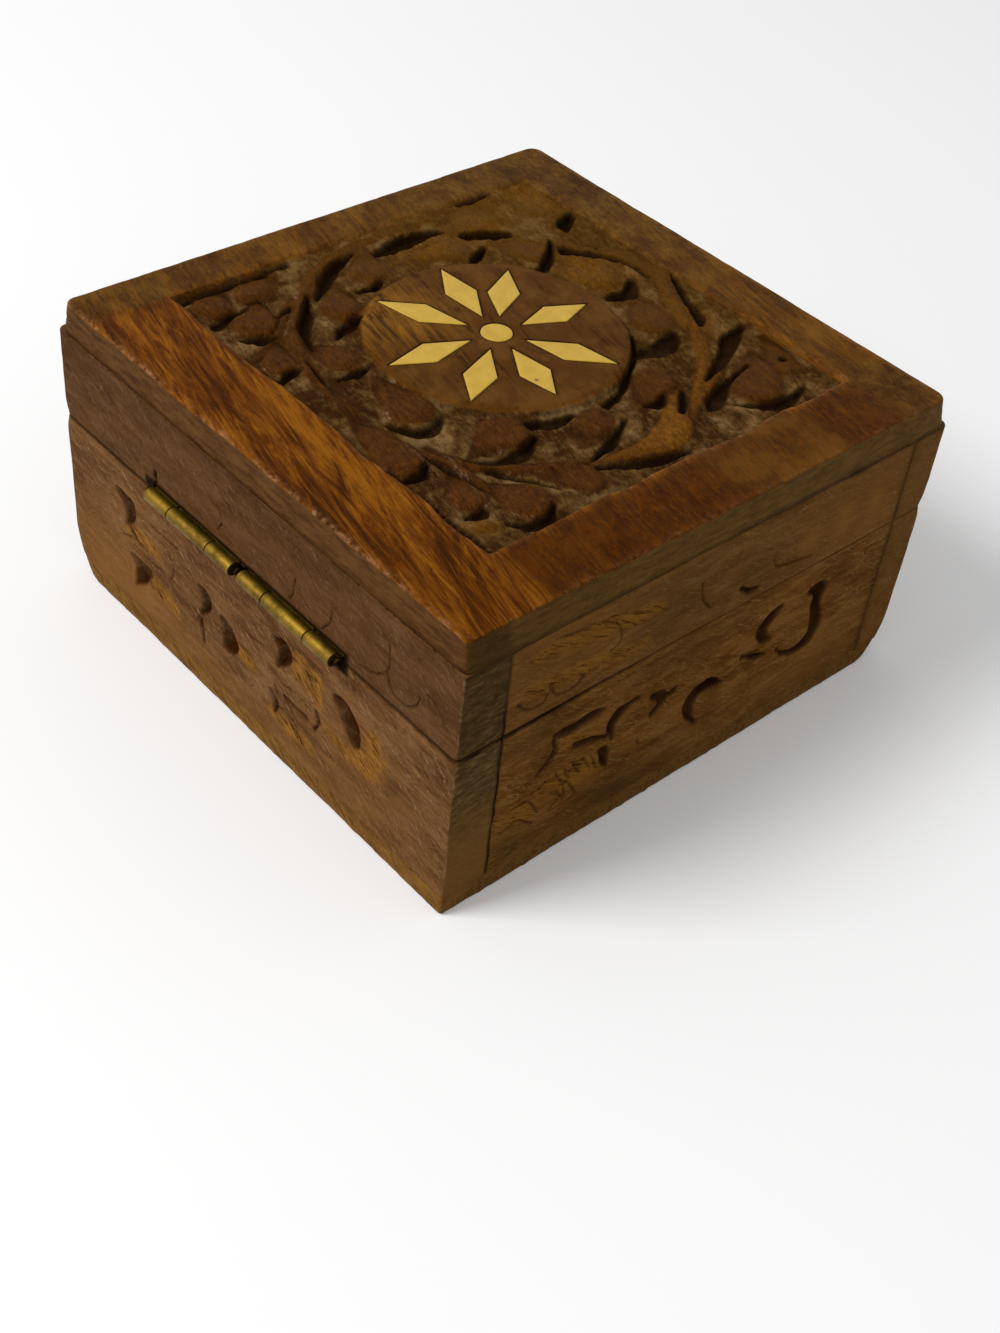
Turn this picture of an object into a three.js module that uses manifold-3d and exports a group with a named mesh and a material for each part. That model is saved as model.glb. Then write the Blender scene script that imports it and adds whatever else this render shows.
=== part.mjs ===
// A small square carved wooden trinket box with a lift-up lid on two brass butt hinges.
// Millimetres, +Z up. The origin is the middle of the underside, and the hinges are on the +Y face.
import * as THREE from "three";
import { mergeVertices } from "three/addons/utils/BufferGeometryUtils.js";
import Module from "manifold-3d";

const wasm = await Module();
wasm.setup();

// Box, from the ground up
const boxWidth = 100.5; // X, the length of the front and back boards
const boxDepth = 102; // Y, over the front and back boards
const wallThickness = 8.5;
const bottomThickness = 4;
const wallHeight = 28.3; // base walls, above the bottom board
const lidGap = 0.4; // kerf between the base's rim and the lid's rails
const railHeight = 15.6;
const topThickness = 5.1;
const topInset = 1; // the top board's edge stands back from the rails
const bottomInset = 0.1;
const hingeCorner = 0.9; // radius of the left back upright corner, which is the crispest one
const wallCorner = 1.6; // the other three
const topCorner = 2.2; // the top board's, worn rounder
const bottomCorner = 3; // the bottom board's
const topEdge = 0.45; // bevel that stands for the top board's worn edge
const bottomEdge = 0.6;

// Carving on the top board
const fieldWidth = 77; // the sunk square, along X
const fieldDepth = 75;
const fieldX = 2.3; // its middle, from the board's middle
const fieldY = -2.3;
const fieldSink = 2;
const medallionX = 4.75;
const medallionY = -1.9;
const medallionRadius = 21.6;
const medallionDrop = 0.2; // below the border's face
const budDrop = 0.5; // the carved forms' tops below the border's face

// Buds: the tail's tip x, y, the head's middle x, y and the head's radius
const buds = [
  [38.4, -0.5, 31, 2.8, 4],
  [31.5, 9.6, 24.4, 14.2, 3.7],
  [19.4, 24.8, 12.8, 22.6, 3.5],
  [5.5, 21, -3.3, 22.2, 4.1],
  [-18.2, 23.8, -16.4, 14.3, 4.2],
  [-25, 7.2, -21.4, 1, 3.5],
  [-23.2, -8.4, -18.5, -15, 3.9],
  [1.4, -29.8, -6.6, -26.5, 3.9],
  [18.2, -27, 9.6, -29.6, 4.4],
  [27.4, -19, 21, -25.4, 4.2],
  [30.4, -4, 29, -13.2, 3.6],
  [38.6, -30.4, 33.6, -35, 4],
  [38.6, -28.8, 34.2, -23.4, 4.2],
  [39.6, 17.8, 36.6, 23.2, 3.2],
  [39.6, 28.6, 36, 30.6, 3.3],
  [34, 24, 28.2, 28.2, 4.1],
  [22.8, 28.4, 16.8, 31.2, 3.2],
  [-1, 30.6, -12.6, 30.8, 3.9],
  [-18.5, 27, -24.4, 28.9, 3.4],
  [-24.2, 25, -30.4, 22.8, 3.9],
  [-27, 16.8, -31, 12.6, 3.3],
  [-19.8, -34.4, -27.8, -26.4, 4.7],
  [-20.2, -38, -28, -35.2, 3.2],
];

// Vine and stems: points x, y along the middle, and the width
const vines = [
  { width: 2.6, points: [[38.2, -19], [38.4, -4], [35.4, 10.4], [30, 17.6], [24, 23], [17, 27], [8, 29]] },
  { width: 2.8, points: [[20.5, -31.6], [12, -36.2], [2, -37.8], [-8, -35], [-14.4, -31]] },
  { width: 2, points: [[-10, -33], [-17, -28.6], [-22, -24], [-26.6, -17.6], [-29.4, -12.6]] },
  { width: 2.6, points: [[-28.8, 8.4], [-24.6, 15.6], [-20.6, 21.4], [-15.4, 25.2], [-11.6, 27.6]] },
  { width: 2, points: [[31, 18.4], [26.8, 24], [22.8, 27], [20.2, 31.8]] },
];
const longLeaf = { from: [-21.5, -16.5], to: [-29.8, 8.4], width: 8 }; // the pointed leaf on the ring's right

// Inlay: eight petals and a dot let into the medallion
const inlayDepth = 1.2;
const inlayGlue = 0.15; // glue line round each inlay
const petalWidth = 5.8;
const petalInner = 5; // radius of the inner tips
const petalOuter = 20; // radius of the outer tips, which each petal reaches more or less
const petals = [
  { angle: 29.8, reach: 1.02 },
  { angle: 83.9, reach: 1.015 },
  { angle: 127.7, reach: 1 },
  { angle: 168.4, reach: 0.93 },
  { angle: 210.7, reach: 1.005 },
  { angle: 265, reach: 0.91 },
  { angle: 313.3, reach: 0.99 },
  { angle: 345.9, reach: 1.02 },
];
const dotRadius = 2.6;

// Gouge cuts in the base's walls: distance along the wall, height, length, width and angle in degrees.
// The distance is from the wall's middle, to the right of someone who looks at that wall.
const gougeDepth = 1;
const backGouges = [
  [-33, 22, 9, 3, 70],
  [-29.5, 12, 9, 3.2, 60],
  [-20, 20, 7, 2, 110],
  [-11, 18.3, 8, 2.6, 60],
  [-4.5, 14.4, 7, 3, 100],
  [9.5, 21.6, 8, 3.2, 50],
  [26, 21, 10, 3.4, 70],
  [17, 14, 7, 2, 110],
];
const sideGouges = [
  [-19.7, 21.5, 8, 2.6, 100],
  [-19.7, 15, 8, 2.6, 80],
  [-9.7, 21.5, 7, 2.6, 110],
  [-31, 18, 10, 2.6, 70],
  [1.2, 15, 10, 3.6, 100],
  [15.7, 24, 7, 2.4, 50],
  [28.5, 19.8, 12, 3, 85],
  [24.5, 14, 8, 2.4, 20],
];

// Hinges: two alike, end to end, the second one turned over so that its middle knuckle is the lid's
const hingeLength = 22.6;
const hingeApart = 2.1; // end to end
const hingeShift = -0.3; // middle of the pair, towards +X
const barrelRadius = 1.55;
const axisOutside = 0.7; // barrel's axis outside the back face
const leafThickness = 0.8;
const hingeLeafWidth = 7.6; // axis to the leaf's free edge
const leafSetback = 0.35; // leaf's body behind the other leaf's knuckles
const middleKnuckle = 10.2;
const knuckleGap = 0.15;
const pinRadius = 0.7;
const pinPlay = 0.08;
const mortisePlay = 0.2;
const barrelPlay = 0.3; // groove round the barrel
const grooveOverrun = 1.6; // the groove runs on past the second hinge

// Screws that hold the leaves
const screwLength = 7;
const screwRadius = 0.8;
const screwHeadRadius = 1.5;
const screwHeadHeight = 0.6;
const screwFromEnd = 5; // of its leaf
const screwFromAxis = 5;
const screwPlay = 0.12;

const roundSegments = 24;
const cornerSegments = 5;
const overcut = 2; // how far a cutter stands past the face that it cuts
const footSink = 0.5; // how far a carved form's foot runs into the board
const degree = Math.PI / 180;

// Levels and places that follow from the sizes
const rim = bottomThickness + wallHeight;
const railBottom = rim + lidGap;
const railTop = railBottom + railHeight;
const boxHeight = railTop + topThickness;
const fieldFloor = boxHeight - fieldSink;
const medallionTop = boxHeight - medallionDrop;
const innerWidth = boxWidth - 2 * wallThickness;
const innerDepth = boxDepth - 2 * wallThickness;
const backFace = boxDepth / 2;
const axisY = backFace + axisOutside;
const axisZ = rim + lidGap / 2;
const hingeMiddles = [1, -1].map((side) => hingeShift + (side * (hingeLength + hingeApart)) / 2);

const wood = new THREE.MeshStandardMaterial({ color: 0x6b4423, roughness: 0.6, metalness: 0 });
const topWood = new THREE.MeshStandardMaterial({ color: 0x7a4a20, roughness: 0.55, metalness: 0 });
const inlay = new THREE.MeshStandardMaterial({ color: 0xe4be5f, roughness: 0.4, metalness: 0 });
const brass = new THREE.MeshStandardMaterial({ color: 0x968232, roughness: 0.4, metalness: 0.9 });

// Solids

function solid(geometry) {
  const bare = geometry.clone();
  bare.deleteAttribute("normal");
  bare.deleteAttribute("uv");
  const merged = mergeVertices(bare, 1e-4);
  const mesh = new wasm.Mesh({
    numProp: 3,
    vertProperties: new Float32Array(merged.attributes.position.array),
    triVerts: new Uint32Array(merged.index.array),
  });
  return new wasm.Manifold(mesh);
}

function piece(name, made, material) {
  const mesh = made.getMesh();
  const geometry = new THREE.BufferGeometry();
  geometry.setAttribute("position", new THREE.BufferAttribute(mesh.vertProperties, 3));
  geometry.setIndex(new THREE.BufferAttribute(mesh.triVerts, 1));
  geometry.computeVertexNormals();
  const object = new THREE.Mesh(geometry, material);
  object.name = name;
  return object;
}

// A box between two corners.
function block(low, high) {
  const size = high.map((value, i) => value - low[i]);
  const geometry = new THREE.BoxGeometry(...size);
  geometry.translate(low[0] + size[0] / 2, low[1] + size[1] / 2, low[2] + size[2] / 2);
  return solid(geometry);
}

// A flat outline raised from one level to another.
function raised(shape, low, high, segments = cornerSegments) {
  const options = { depth: high - low, bevelEnabled: false, curveSegments: segments };
  const geometry = new THREE.ExtrudeGeometry(shape, options);
  geometry.translate(0, 0, low);
  return solid(geometry);
}

// The same with its two ends' edges cut back by a bevel of that size.
function bevelled(shape, low, high, edge) {
  const options = {
    depth: high - low - 2 * edge,
    bevelThickness: edge,
    bevelSize: edge,
    bevelOffset: -edge,
    bevelSegments: 2,
    curveSegments: cornerSegments,
  };
  const geometry = new THREE.ExtrudeGeometry(shape, options);
  geometry.translate(0, 0, low + edge);
  return solid(geometry);
}

// A rectangle with round corners. The one at the left of the back has a radius of its own.
function roundedRectangle(width, depth, radius, backLeft = radius) {
  const x = width / 2;
  const y = depth / 2;
  const shape = new THREE.Shape();
  shape.absarc(x - radius, y - radius, radius, 0, Math.PI / 2);
  shape.absarc(backLeft - x, y - backLeft, backLeft, Math.PI / 2, Math.PI);
  shape.absarc(radius - x, radius - y, radius, Math.PI, 1.5 * Math.PI);
  shape.absarc(x - radius, radius - y, radius, 1.5 * Math.PI, 2 * Math.PI);
  return shape;
}

// A round bar along X.
function bar(radius, fromX, toX, y, z) {
  const geometry = new THREE.CylinderGeometry(radius, radius, toX - fromX, roundSegments);
  geometry.rotateZ(Math.PI / 2);
  geometry.translate((fromX + toX) / 2, y, z);
  return solid(geometry);
}

// A disc or post along Z.
function post(radius, x, y, low, high, segments = roundSegments) {
  const geometry = new THREE.CylinderGeometry(radius, radius, high - low, segments);
  geometry.rotateX(Math.PI / 2);
  geometry.translate(x, y, (low + high) / 2);
  return solid(geometry);
}

// Carved shapes

// A bud: a round head at the origin that points along +X, with straight sides to the tip of its tail.
function budShape(radius, tail) {
  const open = Math.PI - Math.acos(radius / tail);
  const shape = new THREE.Shape();
  shape.moveTo(-tail, 0);
  shape.absarc(0, 0, radius, -open, open);
  return shape;
}

// A leaf or a gouge cut: two arcs that meet in points, its middle at the origin, its length along X.
function leafShape(length, width) {
  const half = length / 2;
  const shape = new THREE.Shape();
  shape.moveTo(-half, 0);
  shape.quadraticCurveTo(0, -width, half, 0);
  shape.quadraticCurveTo(0, width, -half, 0);
  return shape;
}

// A rhomb along X from the inner radius to the outer one, wider all round by the margin.
function petalShape(inner, outer, width, margin) {
  const middle = (inner + outer) / 2;
  const half = (outer - inner) / 2;
  const sideDistance = (half * width) / 2 / Math.hypot(half, width / 2);
  const grow = 1 + margin / sideDistance;
  const shape = new THREE.Shape();
  shape.moveTo(middle - half * grow, 0);
  shape.lineTo(middle, (-width / 2) * grow);
  shape.lineTo(middle + half * grow, 0);
  shape.lineTo(middle, (width / 2) * grow);
  return shape;
}

// Turned about Z by an angle in degrees and moved.
function placed(made, angle, x, y) {
  return made.rotate([0, 0, angle]).translate([x, y, 0]);
}

// A form that stands on the field's floor, its foot sunk a little into it.
function standing(shape) {
  return raised(shape, fieldFloor - footSink, boxHeight - budDrop);
}

function carvedBud([tailX, tailY, x, y, radius]) {
  const [dx, dy] = [x - tailX, y - tailY];
  const made = standing(budShape(radius, Math.hypot(dx, dy)));
  return placed(made, Math.atan2(dy, dx) / degree, x, y);
}

function carvedLeaf({ from, to, width }) {
  const [dx, dy] = [to[0] - from[0], to[1] - from[1]];
  const made = standing(leafShape(Math.hypot(dx, dy), width));
  return placed(made, Math.atan2(dy, dx) / degree, (to[0] + from[0]) / 2, (to[1] + from[1]) / 2);
}

// A ribbon along a smooth curve through the points, narrower to both ends.
function carvedVine({ width, points }) {
  const curve = new THREE.SplineCurve(points.map(([x, y]) => new THREE.Vector2(x, y)));
  const steps = 3 * points.length;
  const sides = [[], []];
  for (let i = 0; i <= steps; i++) {
    const middle = curve.getPoint(i / steps);
    const along = curve.getTangent(i / steps);
    const half = (width / 2) * (0.4 + 0.6 * Math.sin((Math.PI * i) / steps));
    sides[0].push(new THREE.Vector2(middle.x - along.y * half, middle.y + along.x * half));
    sides[1].unshift(new THREE.Vector2(middle.x + along.y * half, middle.y - along.x * half));
  }
  return standing(new THREE.Shape([...sides[0], ...sides[1]]));
}

// Top board, with its sunk field, carving and inlay pockets

function fieldCut() {
  const low = [fieldX - fieldWidth / 2, fieldY - fieldDepth / 2, fieldFloor];
  const high = [fieldX + fieldWidth / 2, fieldY + fieldDepth / 2, boxHeight + overcut];
  return block(low, high);
}

function topBoard() {
  const width = boxWidth - 2 * topInset;
  const depth = boxDepth - 2 * topInset;
  const outline = roundedRectangle(width, depth, topCorner, hingeCorner);
  const lower = raised(outline, railTop, railTop + topThickness / 2);
  let board = bevelled(outline, railTop, boxHeight, topEdge).add(lower);
  board = board.subtract(fieldCut());
  const forms = [...buds.map(carvedBud), ...vines.map(carvedVine), carvedLeaf(longLeaf)];
  for (const form of forms) board = board.add(form);
  const medallionFoot = fieldFloor - footSink;
  board = board.add(post(medallionRadius, medallionX, medallionY, medallionFoot, medallionTop, 64));
  const pocketFloor = medallionTop - inlayDepth;
  for (const { angle, reach } of petals) {
    const shape = petalShape(petalInner, reach * petalOuter, petalWidth, inlayGlue);
    const pocket = raised(shape, pocketFloor, boxHeight + overcut);
    board = board.subtract(placed(pocket, angle, medallionX, medallionY));
  }
  const dotPocket = dotRadius + inlayGlue;
  const pocket = post(dotPocket, medallionX, medallionY, pocketFloor, boxHeight + overcut);
  return board.subtract(pocket);
}

function inlays() {
  const floor = medallionTop - inlayDepth;
  const made = petals.map(({ angle, reach }, i) => {
    const shape = petalShape(petalInner, reach * petalOuter, petalWidth, 0);
    const flat = raised(shape, floor, medallionTop);
    return piece("inlay_petal_" + (i + 1), placed(flat, angle, medallionX, medallionY), inlay);
  });
  const dot = post(dotRadius, medallionX, medallionY, floor, medallionTop);
  return [...made, piece("inlay_dot", dot, inlay)];
}

// Boards of the base and of the lid's frame

// The front or back board of a frame (side is -1 or 1), with its two upright corners rounded.
function longBoard(side, low, high) {
  const outline = raised(roundedRectangle(boxWidth, boxDepth, wallCorner, hingeCorner), low, high);
  const outer = side * (boxDepth / 2 + overcut);
  const inner = (side * innerDepth) / 2;
  const slice = block(
    [-boxWidth, Math.min(outer, inner), low - overcut],
    [boxWidth, Math.max(outer, inner), high + overcut],
  );
  return outline.intersect(slice);
}

// The left or right board (side is -1 or 1), held between the two long ones.
function sideBoard(side, low, high) {
  const outer = (side * boxWidth) / 2;
  const inner = (side * innerWidth) / 2;
  return block(
    [Math.min(outer, inner), -innerDepth / 2, low],
    [Math.max(outer, inner), innerDepth / 2, high],
  );
}

function bottomBoard() {
  const width = boxWidth - 2 * bottomInset;
  const depth = boxDepth - 2 * bottomInset;
  const outline = roundedRectangle(width, depth, bottomCorner, hingeCorner);
  const upper = raised(outline, bottomThickness / 2, bottomThickness);
  return bevelled(outline, 0, bottomThickness, bottomEdge).add(upper);
}

// Gouge cuts for one wall, which looks along -Y at a distance from the middle.
function gouges(list, distance) {
  return list.map(([along, height, length, width, angle]) => {
    const cut = raised(leafShape(length, width), -gougeDepth, overcut);
    return cut.rotate([0, 0, angle]).rotate([90, 0, 0]).translate([along, -distance, height]);
  });
}

function carvedWall(board, list, distance, turn) {
  let made = board;
  for (const cut of gouges(list, distance)) made = made.subtract(cut.rotate([0, 0, turn]));
  return made;
}

// Hinges

// The end that lies furthest along -X and +X of the pair of hinges.
const pairStart = hingeShift - hingeApart / 2 - hingeLength;
const pairEnd = hingeShift + hingeApart / 2 + hingeLength;

// The recess in a back board for the leaves (up is 1 in the base's rim, -1 in the lid's rail) and the barrel.
function hingeRecess(up) {
  const face = up > 0 ? rim : railBottom;
  const deep = face - up * leafThickness;
  const past = face + up * overcut;
  const leaves = block(
    [pairStart - mortisePlay, axisY - hingeLeafWidth - mortisePlay, Math.min(deep, past)],
    [pairEnd + mortisePlay, backFace + overcut, Math.max(deep, past)],
  );
  const groove = bar(
    barrelRadius + barrelPlay,
    pairStart - grooveOverrun,
    pairEnd + mortisePlay,
    axisY,
    axisZ,
  );
  return leaves.add(groove);
}

function screwPlaces(middle) {
  const fromMiddle = hingeLength / 2 - screwFromEnd;
  return [middle - fromMiddle, middle + fromMiddle];
}

// A countersunk screw with its head's face at the origin, pointing along -Z, larger all round by the margin.
function screwSolid(margin) {
  const profile = [
    [0, -screwLength - margin],
    [screwRadius + margin, -screwLength + screwRadius],
    [screwRadius + margin, -screwHeadHeight],
    [screwHeadRadius + margin, 0],
  ];
  if (margin > 0) profile.push([screwHeadRadius + margin, overcut]);
  profile.push([0, margin > 0 ? overcut : 0]);
  const points = profile.map(([r, z]) => new THREE.Vector2(r, z));
  const geometry = new THREE.LatheGeometry(points, roundSegments / 2);
  geometry.rotateX(Math.PI / 2);
  return solid(geometry);
}

// Its place in one leaf's face (up is 1 for the base's leaf, whose screws point down).
function screwAt(x, up, margin) {
  const face = up > 0 ? rim : railBottom;
  const turned = up > 0 ? screwSolid(margin) : screwSolid(margin).rotate([180, 0, 0]);
  return turned.translate([x, axisY - screwFromAxis, face]);
}

function withoutScrews(board, up) {
  let made = board;
  for (const x of hingeMiddles.flatMap(screwPlaces)) made = made.subtract(screwAt(x, up, screwPlay));
  return made;
}

// The stretches of a hinge's barrel that belong to the leaf with the middle knuckle, or to the other one.
function knuckles(middle, hasMiddle) {
  const half = middleKnuckle / 2;
  if (hasMiddle) return [[middle - half, middle + half]];
  const end = hingeLength / 2;
  return [
    [middle - end, middle - half - knuckleGap],
    [middle + half + knuckleGap, middle + end],
  ];
}

// One leaf: a plate let in flush, knuckles rolled from it, the pin's bore and two countersunk holes.
function hingeLeaf(middle, up, hasMiddle) {
  const face = up > 0 ? rim : railBottom;
  const back = face - up * leafThickness;
  const low = Math.min(face, back);
  const high = Math.max(face, back);
  const bodyEdge = axisY - barrelRadius - leafSetback;
  let leaf = block(
    [middle - hingeLength / 2, axisY - hingeLeafWidth, low],
    [middle + hingeLength / 2, bodyEdge, high],
  );
  for (const [from, to] of knuckles(middle, hasMiddle)) {
    const tab = block([from, bodyEdge - leafThickness, low], [to, axisY - pinRadius, high]);
    leaf = leaf.add(tab).add(bar(barrelRadius, from, to, axisY, axisZ));
  }
  const ends = [middle - hingeLength / 2 - overcut, middle + hingeLength / 2 + overcut];
  leaf = leaf.subtract(bar(pinRadius + pinPlay, ends[0], ends[1], axisY, axisZ));
  for (const x of screwPlaces(middle)) leaf = leaf.subtract(screwAt(x, up, screwPlay));
  return leaf;
}

function hingePin(middle) {
  return bar(pinRadius, middle - hingeLength / 2, middle + hingeLength / 2, axisY, axisZ);
}

// Assembly

const base = new THREE.Group();
const lid = new THREE.Group();

const frontDistance = boxDepth / 2;
const sideDistance = boxWidth / 2;
const backWall = withoutScrews(longBoard(1, bottomThickness, rim).subtract(hingeRecess(1)), 1);
const frontWall = longBoard(-1, bottomThickness, rim);
const leftWall = sideBoard(-1, bottomThickness, rim);
const rightWall = sideBoard(1, bottomThickness, rim);
base.add(
  piece("bottom_board", bottomBoard(), wood),
  piece("base_back_wall", carvedWall(backWall, backGouges, frontDistance, 180), wood),
  piece("base_front_wall", carvedWall(frontWall, backGouges, frontDistance, 0), wood),
  piece("base_left_wall", carvedWall(leftWall, sideGouges, sideDistance, -90), wood),
  piece("base_right_wall", carvedWall(rightWall, sideGouges, sideDistance, 90), wood),
);

const backRail = withoutScrews(longBoard(1, railBottom, railTop).subtract(hingeRecess(-1)), -1);
lid.add(
  piece("lid_top_board", topBoard(), topWood),
  piece("lid_back_rail", backRail, wood),
  piece("lid_front_rail", longBoard(-1, railBottom, railTop), wood),
  piece("lid_left_rail", sideBoard(-1, railBottom, railTop), wood),
  piece("lid_right_rail", sideBoard(1, railBottom, railTop), wood),
  ...inlays(),
);

hingeMiddles.forEach((middle, index) => {
  const baseHasMiddle = index === 0;
  const name = "hinge_" + (index + 1);
  base.add(piece(name + "_base_leaf", hingeLeaf(middle, 1, baseHasMiddle), brass));
  base.add(piece(name + "_pin", hingePin(middle), brass));
  lid.add(piece(name + "_lid_leaf", hingeLeaf(middle, -1, !baseHasMiddle), brass));
  screwPlaces(middle).forEach((x, i) => {
    base.add(piece(name + "_base_screw_" + (i + 1), screwAt(x, 1, 0), brass));
    lid.add(piece(name + "_lid_screw_" + (i + 1), screwAt(x, -1, 0), brass));
  });
});

const box = new THREE.Group();
box.add(base, lid);

export default box;
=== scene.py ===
import math

import bpy
import numpy as np
from mathutils import Matrix, Vector


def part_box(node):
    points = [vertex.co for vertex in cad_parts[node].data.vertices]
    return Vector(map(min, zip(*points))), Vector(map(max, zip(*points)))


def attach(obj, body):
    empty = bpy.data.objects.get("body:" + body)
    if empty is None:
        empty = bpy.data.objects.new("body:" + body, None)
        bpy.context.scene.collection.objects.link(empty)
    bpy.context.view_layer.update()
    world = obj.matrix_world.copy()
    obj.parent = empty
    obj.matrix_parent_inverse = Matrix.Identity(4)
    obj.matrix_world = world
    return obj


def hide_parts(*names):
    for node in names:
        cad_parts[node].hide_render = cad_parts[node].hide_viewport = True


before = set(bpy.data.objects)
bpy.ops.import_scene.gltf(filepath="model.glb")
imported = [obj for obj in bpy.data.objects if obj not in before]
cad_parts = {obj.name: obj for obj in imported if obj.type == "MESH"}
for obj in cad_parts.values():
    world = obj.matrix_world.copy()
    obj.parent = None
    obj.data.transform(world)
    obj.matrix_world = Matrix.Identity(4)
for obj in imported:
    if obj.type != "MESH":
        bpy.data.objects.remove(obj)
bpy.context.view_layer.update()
mm = 0.001  # every size below is in millimetres, the meshes are in metres

# Camera, at the photograph's viewing angle

cameraView = {
    "place": (-172.4, 170.8, 207.3),
    "forward": (0.5144, -0.5306, -0.6737),
    "up": (0.5526, -0.3956, 0.7336),
    "lens": 48.64,
}


def makeCamera(view):
    data = bpy.data.cameras.new("camera")
    data.lens = view["lens"]
    data.clip_start = 0.01
    forward = Vector(view["forward"]).normalized()
    right = forward.cross(Vector(view["up"])).normalized()
    up = right.cross(forward)
    turn = Matrix((right, up, -forward)).transposed()
    camera = bpy.data.objects.new("camera", data)
    camera.matrix_world = Matrix.Translation(Vector(view["place"]) * mm) @ turn.to_4x4()
    bpy.context.collection.objects.link(camera)
    bpy.context.scene.camera = camera


makeCamera(cameraView)
print("camera placed")

# Random unevenness, smooth steps and soft spots

noiseTable = {"cells": 128, "shift": (57.3, 31.7)}
farOff = 9.0  # stands for every distance that is too long to matter


def noise(x, y, size, seed):
    # Value noise: a table of random numbers every size mm, blended with a smooth cubic step between them.
    cells, shift = noiseTable["cells"], noiseTable["shift"]
    table = np.random.default_rng(seed).uniform(-1, 1, (cells, cells))
    a, b = x / size + shift[0], y / size + shift[1]
    i, j = np.floor(a).astype(int), np.floor(b).astype(int)
    s, t = a - i, b - j
    s, t = s * s * (3 - 2 * s), t * t * (3 - 2 * t)
    i0, i1, j0, j1 = i % cells, (i + 1) % cells, j % cells, (j + 1) % cells
    low = table[i0, j0] * (1 - s) + table[i1, j0] * s
    high = table[i0, j1] * (1 - s) + table[i1, j1] * s
    return low * (1 - t) + high * t


def layers(x, y, rows, start=0):
    # The sum of several noises, each given as strength, size and seed.
    return sum((strength * noise(x, y, size, seed) for strength, size, seed in rows), start)


def smooth(value, low, high):
    # The cubic step from 0 at low to 1 at high.
    t = np.clip((value - low) / (high - low), 0, 1)
    return t * t * (3 - 2 * t)


def fade(distance, reach):
    # 1 where the distance is nothing or less, falling off as e to the power of minus distance over reach.
    return np.exp(-np.clip(distance, 0, farOff) / reach)


def spots(a, b, rows):
    # The sum of soft round spots, each given as strength, middle and reach along a and b: a bell curve of the
    # distance from the middle.
    total = 0
    for strength, middleA, middleB, reachA, reachB in rows:
        total = total + strength * np.exp(-(((a - middleA) / reachA) ** 2) - ((b - middleB) / reachB) ** 2)
    return total


# Paths of the carver's knife


def curveThrough(points, steps=10):
    # A Catmull-Rom curve through rows of numbers: each stretch is a cubic sloped by its neighbours.
    rows = np.array(points, float)
    padded = np.vstack([2 * rows[0] - rows[1], rows, 2 * rows[-1] - rows[-2]])
    t = np.linspace(0, 1, steps, endpoint=False)[:, None]
    parts = []
    for k in range(1, len(padded) - 2):
        a, b, c, d = padded[k - 1 : k + 3]
        bend = 2 * a - 5 * b + 4 * c - d
        lift = 3 * b - a - 3 * c + d
        parts.append(0.5 * (2 * b + (c - a) * t + bend * t**2 + lift * t**3))
    return np.vstack(parts + [rows[-1:]])


def alongPath(path, x, y, reach):
    # The distance from each point to a disc swept along the path, negative inside it, and the level at the
    # nearest disc. Points past the reach are left far off.
    distance, level = np.full(x.shape, farOff), np.zeros(x.shape)
    margin = path[:, 2].max() + reach
    low, high = path[:, :2].min(axis=0) - margin, path[:, :2].max(axis=0) + margin
    close = (x > low[0]) & (x < high[0]) & (y > low[1]) & (y < high[1])
    if close.any():
        gaps = np.hypot(x[close][:, None] - path[:, 0], y[close][:, None] - path[:, 1]) - path[:, 2]
        best = gaps.argmin(axis=1)
        distance[close] = gaps[np.arange(len(best)), best]
        level[close] = path[best, -1]
    return distance, level


def nearestOf(paths, x, y, rough=0.0, reach=1.6):
    # The smallest of the distances to several paths, with rough edges, and the level that goes with it.
    distance, level = np.full(x.shape, farOff), np.zeros(x.shape)
    for k, path in enumerate(paths):
        d, at = alongPath(path, x, y, reach)
        d = d + rough * noise(x, y, 1.7, 40 + k)
        level = np.where(d < distance, at, level)
        distance = np.minimum(distance, d)
    return distance, level


# Meshes from whole arrays of points


def newPiece(name, points, quads, triangles, shades=60):
    # Points in millimetres. Edges sharper than the given angle stay crisp.
    mesh = bpy.data.meshes.new(name)
    corners = np.concatenate([quads.ravel(), triangles.ravel()])
    sizes = np.concatenate([np.full(len(quads), 4), np.full(len(triangles), 3)])
    starts = np.concatenate([[0], np.cumsum(sizes)[:-1]])
    mesh.vertices.add(len(points))
    mesh.vertices.foreach_set("co", (points * mm).astype(np.float32).ravel())
    mesh.loops.add(len(corners))
    mesh.loops.foreach_set("vertex_index", corners.astype(np.int32))
    mesh.polygons.add(len(sizes))
    mesh.polygons.foreach_set("loop_start", starts.astype(np.int32))
    mesh.update(calc_edges=True)
    mesh.validate()
    mesh.shade_smooth()
    mesh.set_sharp_from_angle(angle=math.radians(shades))
    made = bpy.data.objects.new(name, mesh)
    bpy.context.collection.objects.link(made)
    return made


def joined(shells):
    # Several closed shells, each (points, quads, triangles), as one set of arrays.
    points, quads, triangles, start = [], [], [], 0
    for p, q, t in shells:
        points.append(p)
        quads.append(q + start)
        triangles.append(t + start)
        start += len(p)
    return np.vstack(points), np.vstack(quads), np.vstack(triangles)


def tubeShell(rings):
    # Closed rings of equal length, one above the other: walls of quads, and a fan of triangles at both ends.
    count, length = rings.shape[:2]
    index = np.arange(count * length).reshape(count, length)
    after = np.roll(index, -1, axis=1)
    quads = np.stack([index[:-1], after[:-1], after[1:], index[1:]], -1).reshape(-1, 4)
    middles = np.stack([rings[0].mean(axis=0), rings[-1].mean(axis=0)])
    foot, head = count * length, count * length + 1
    low = np.stack([after[0], index[0], np.full(length, foot)], 1)
    high = np.stack([index[-1], after[-1], np.full(length, head)], 1)
    return np.vstack([rings.reshape(-1, 3), middles]), quads, np.vstack([low, high])


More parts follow.
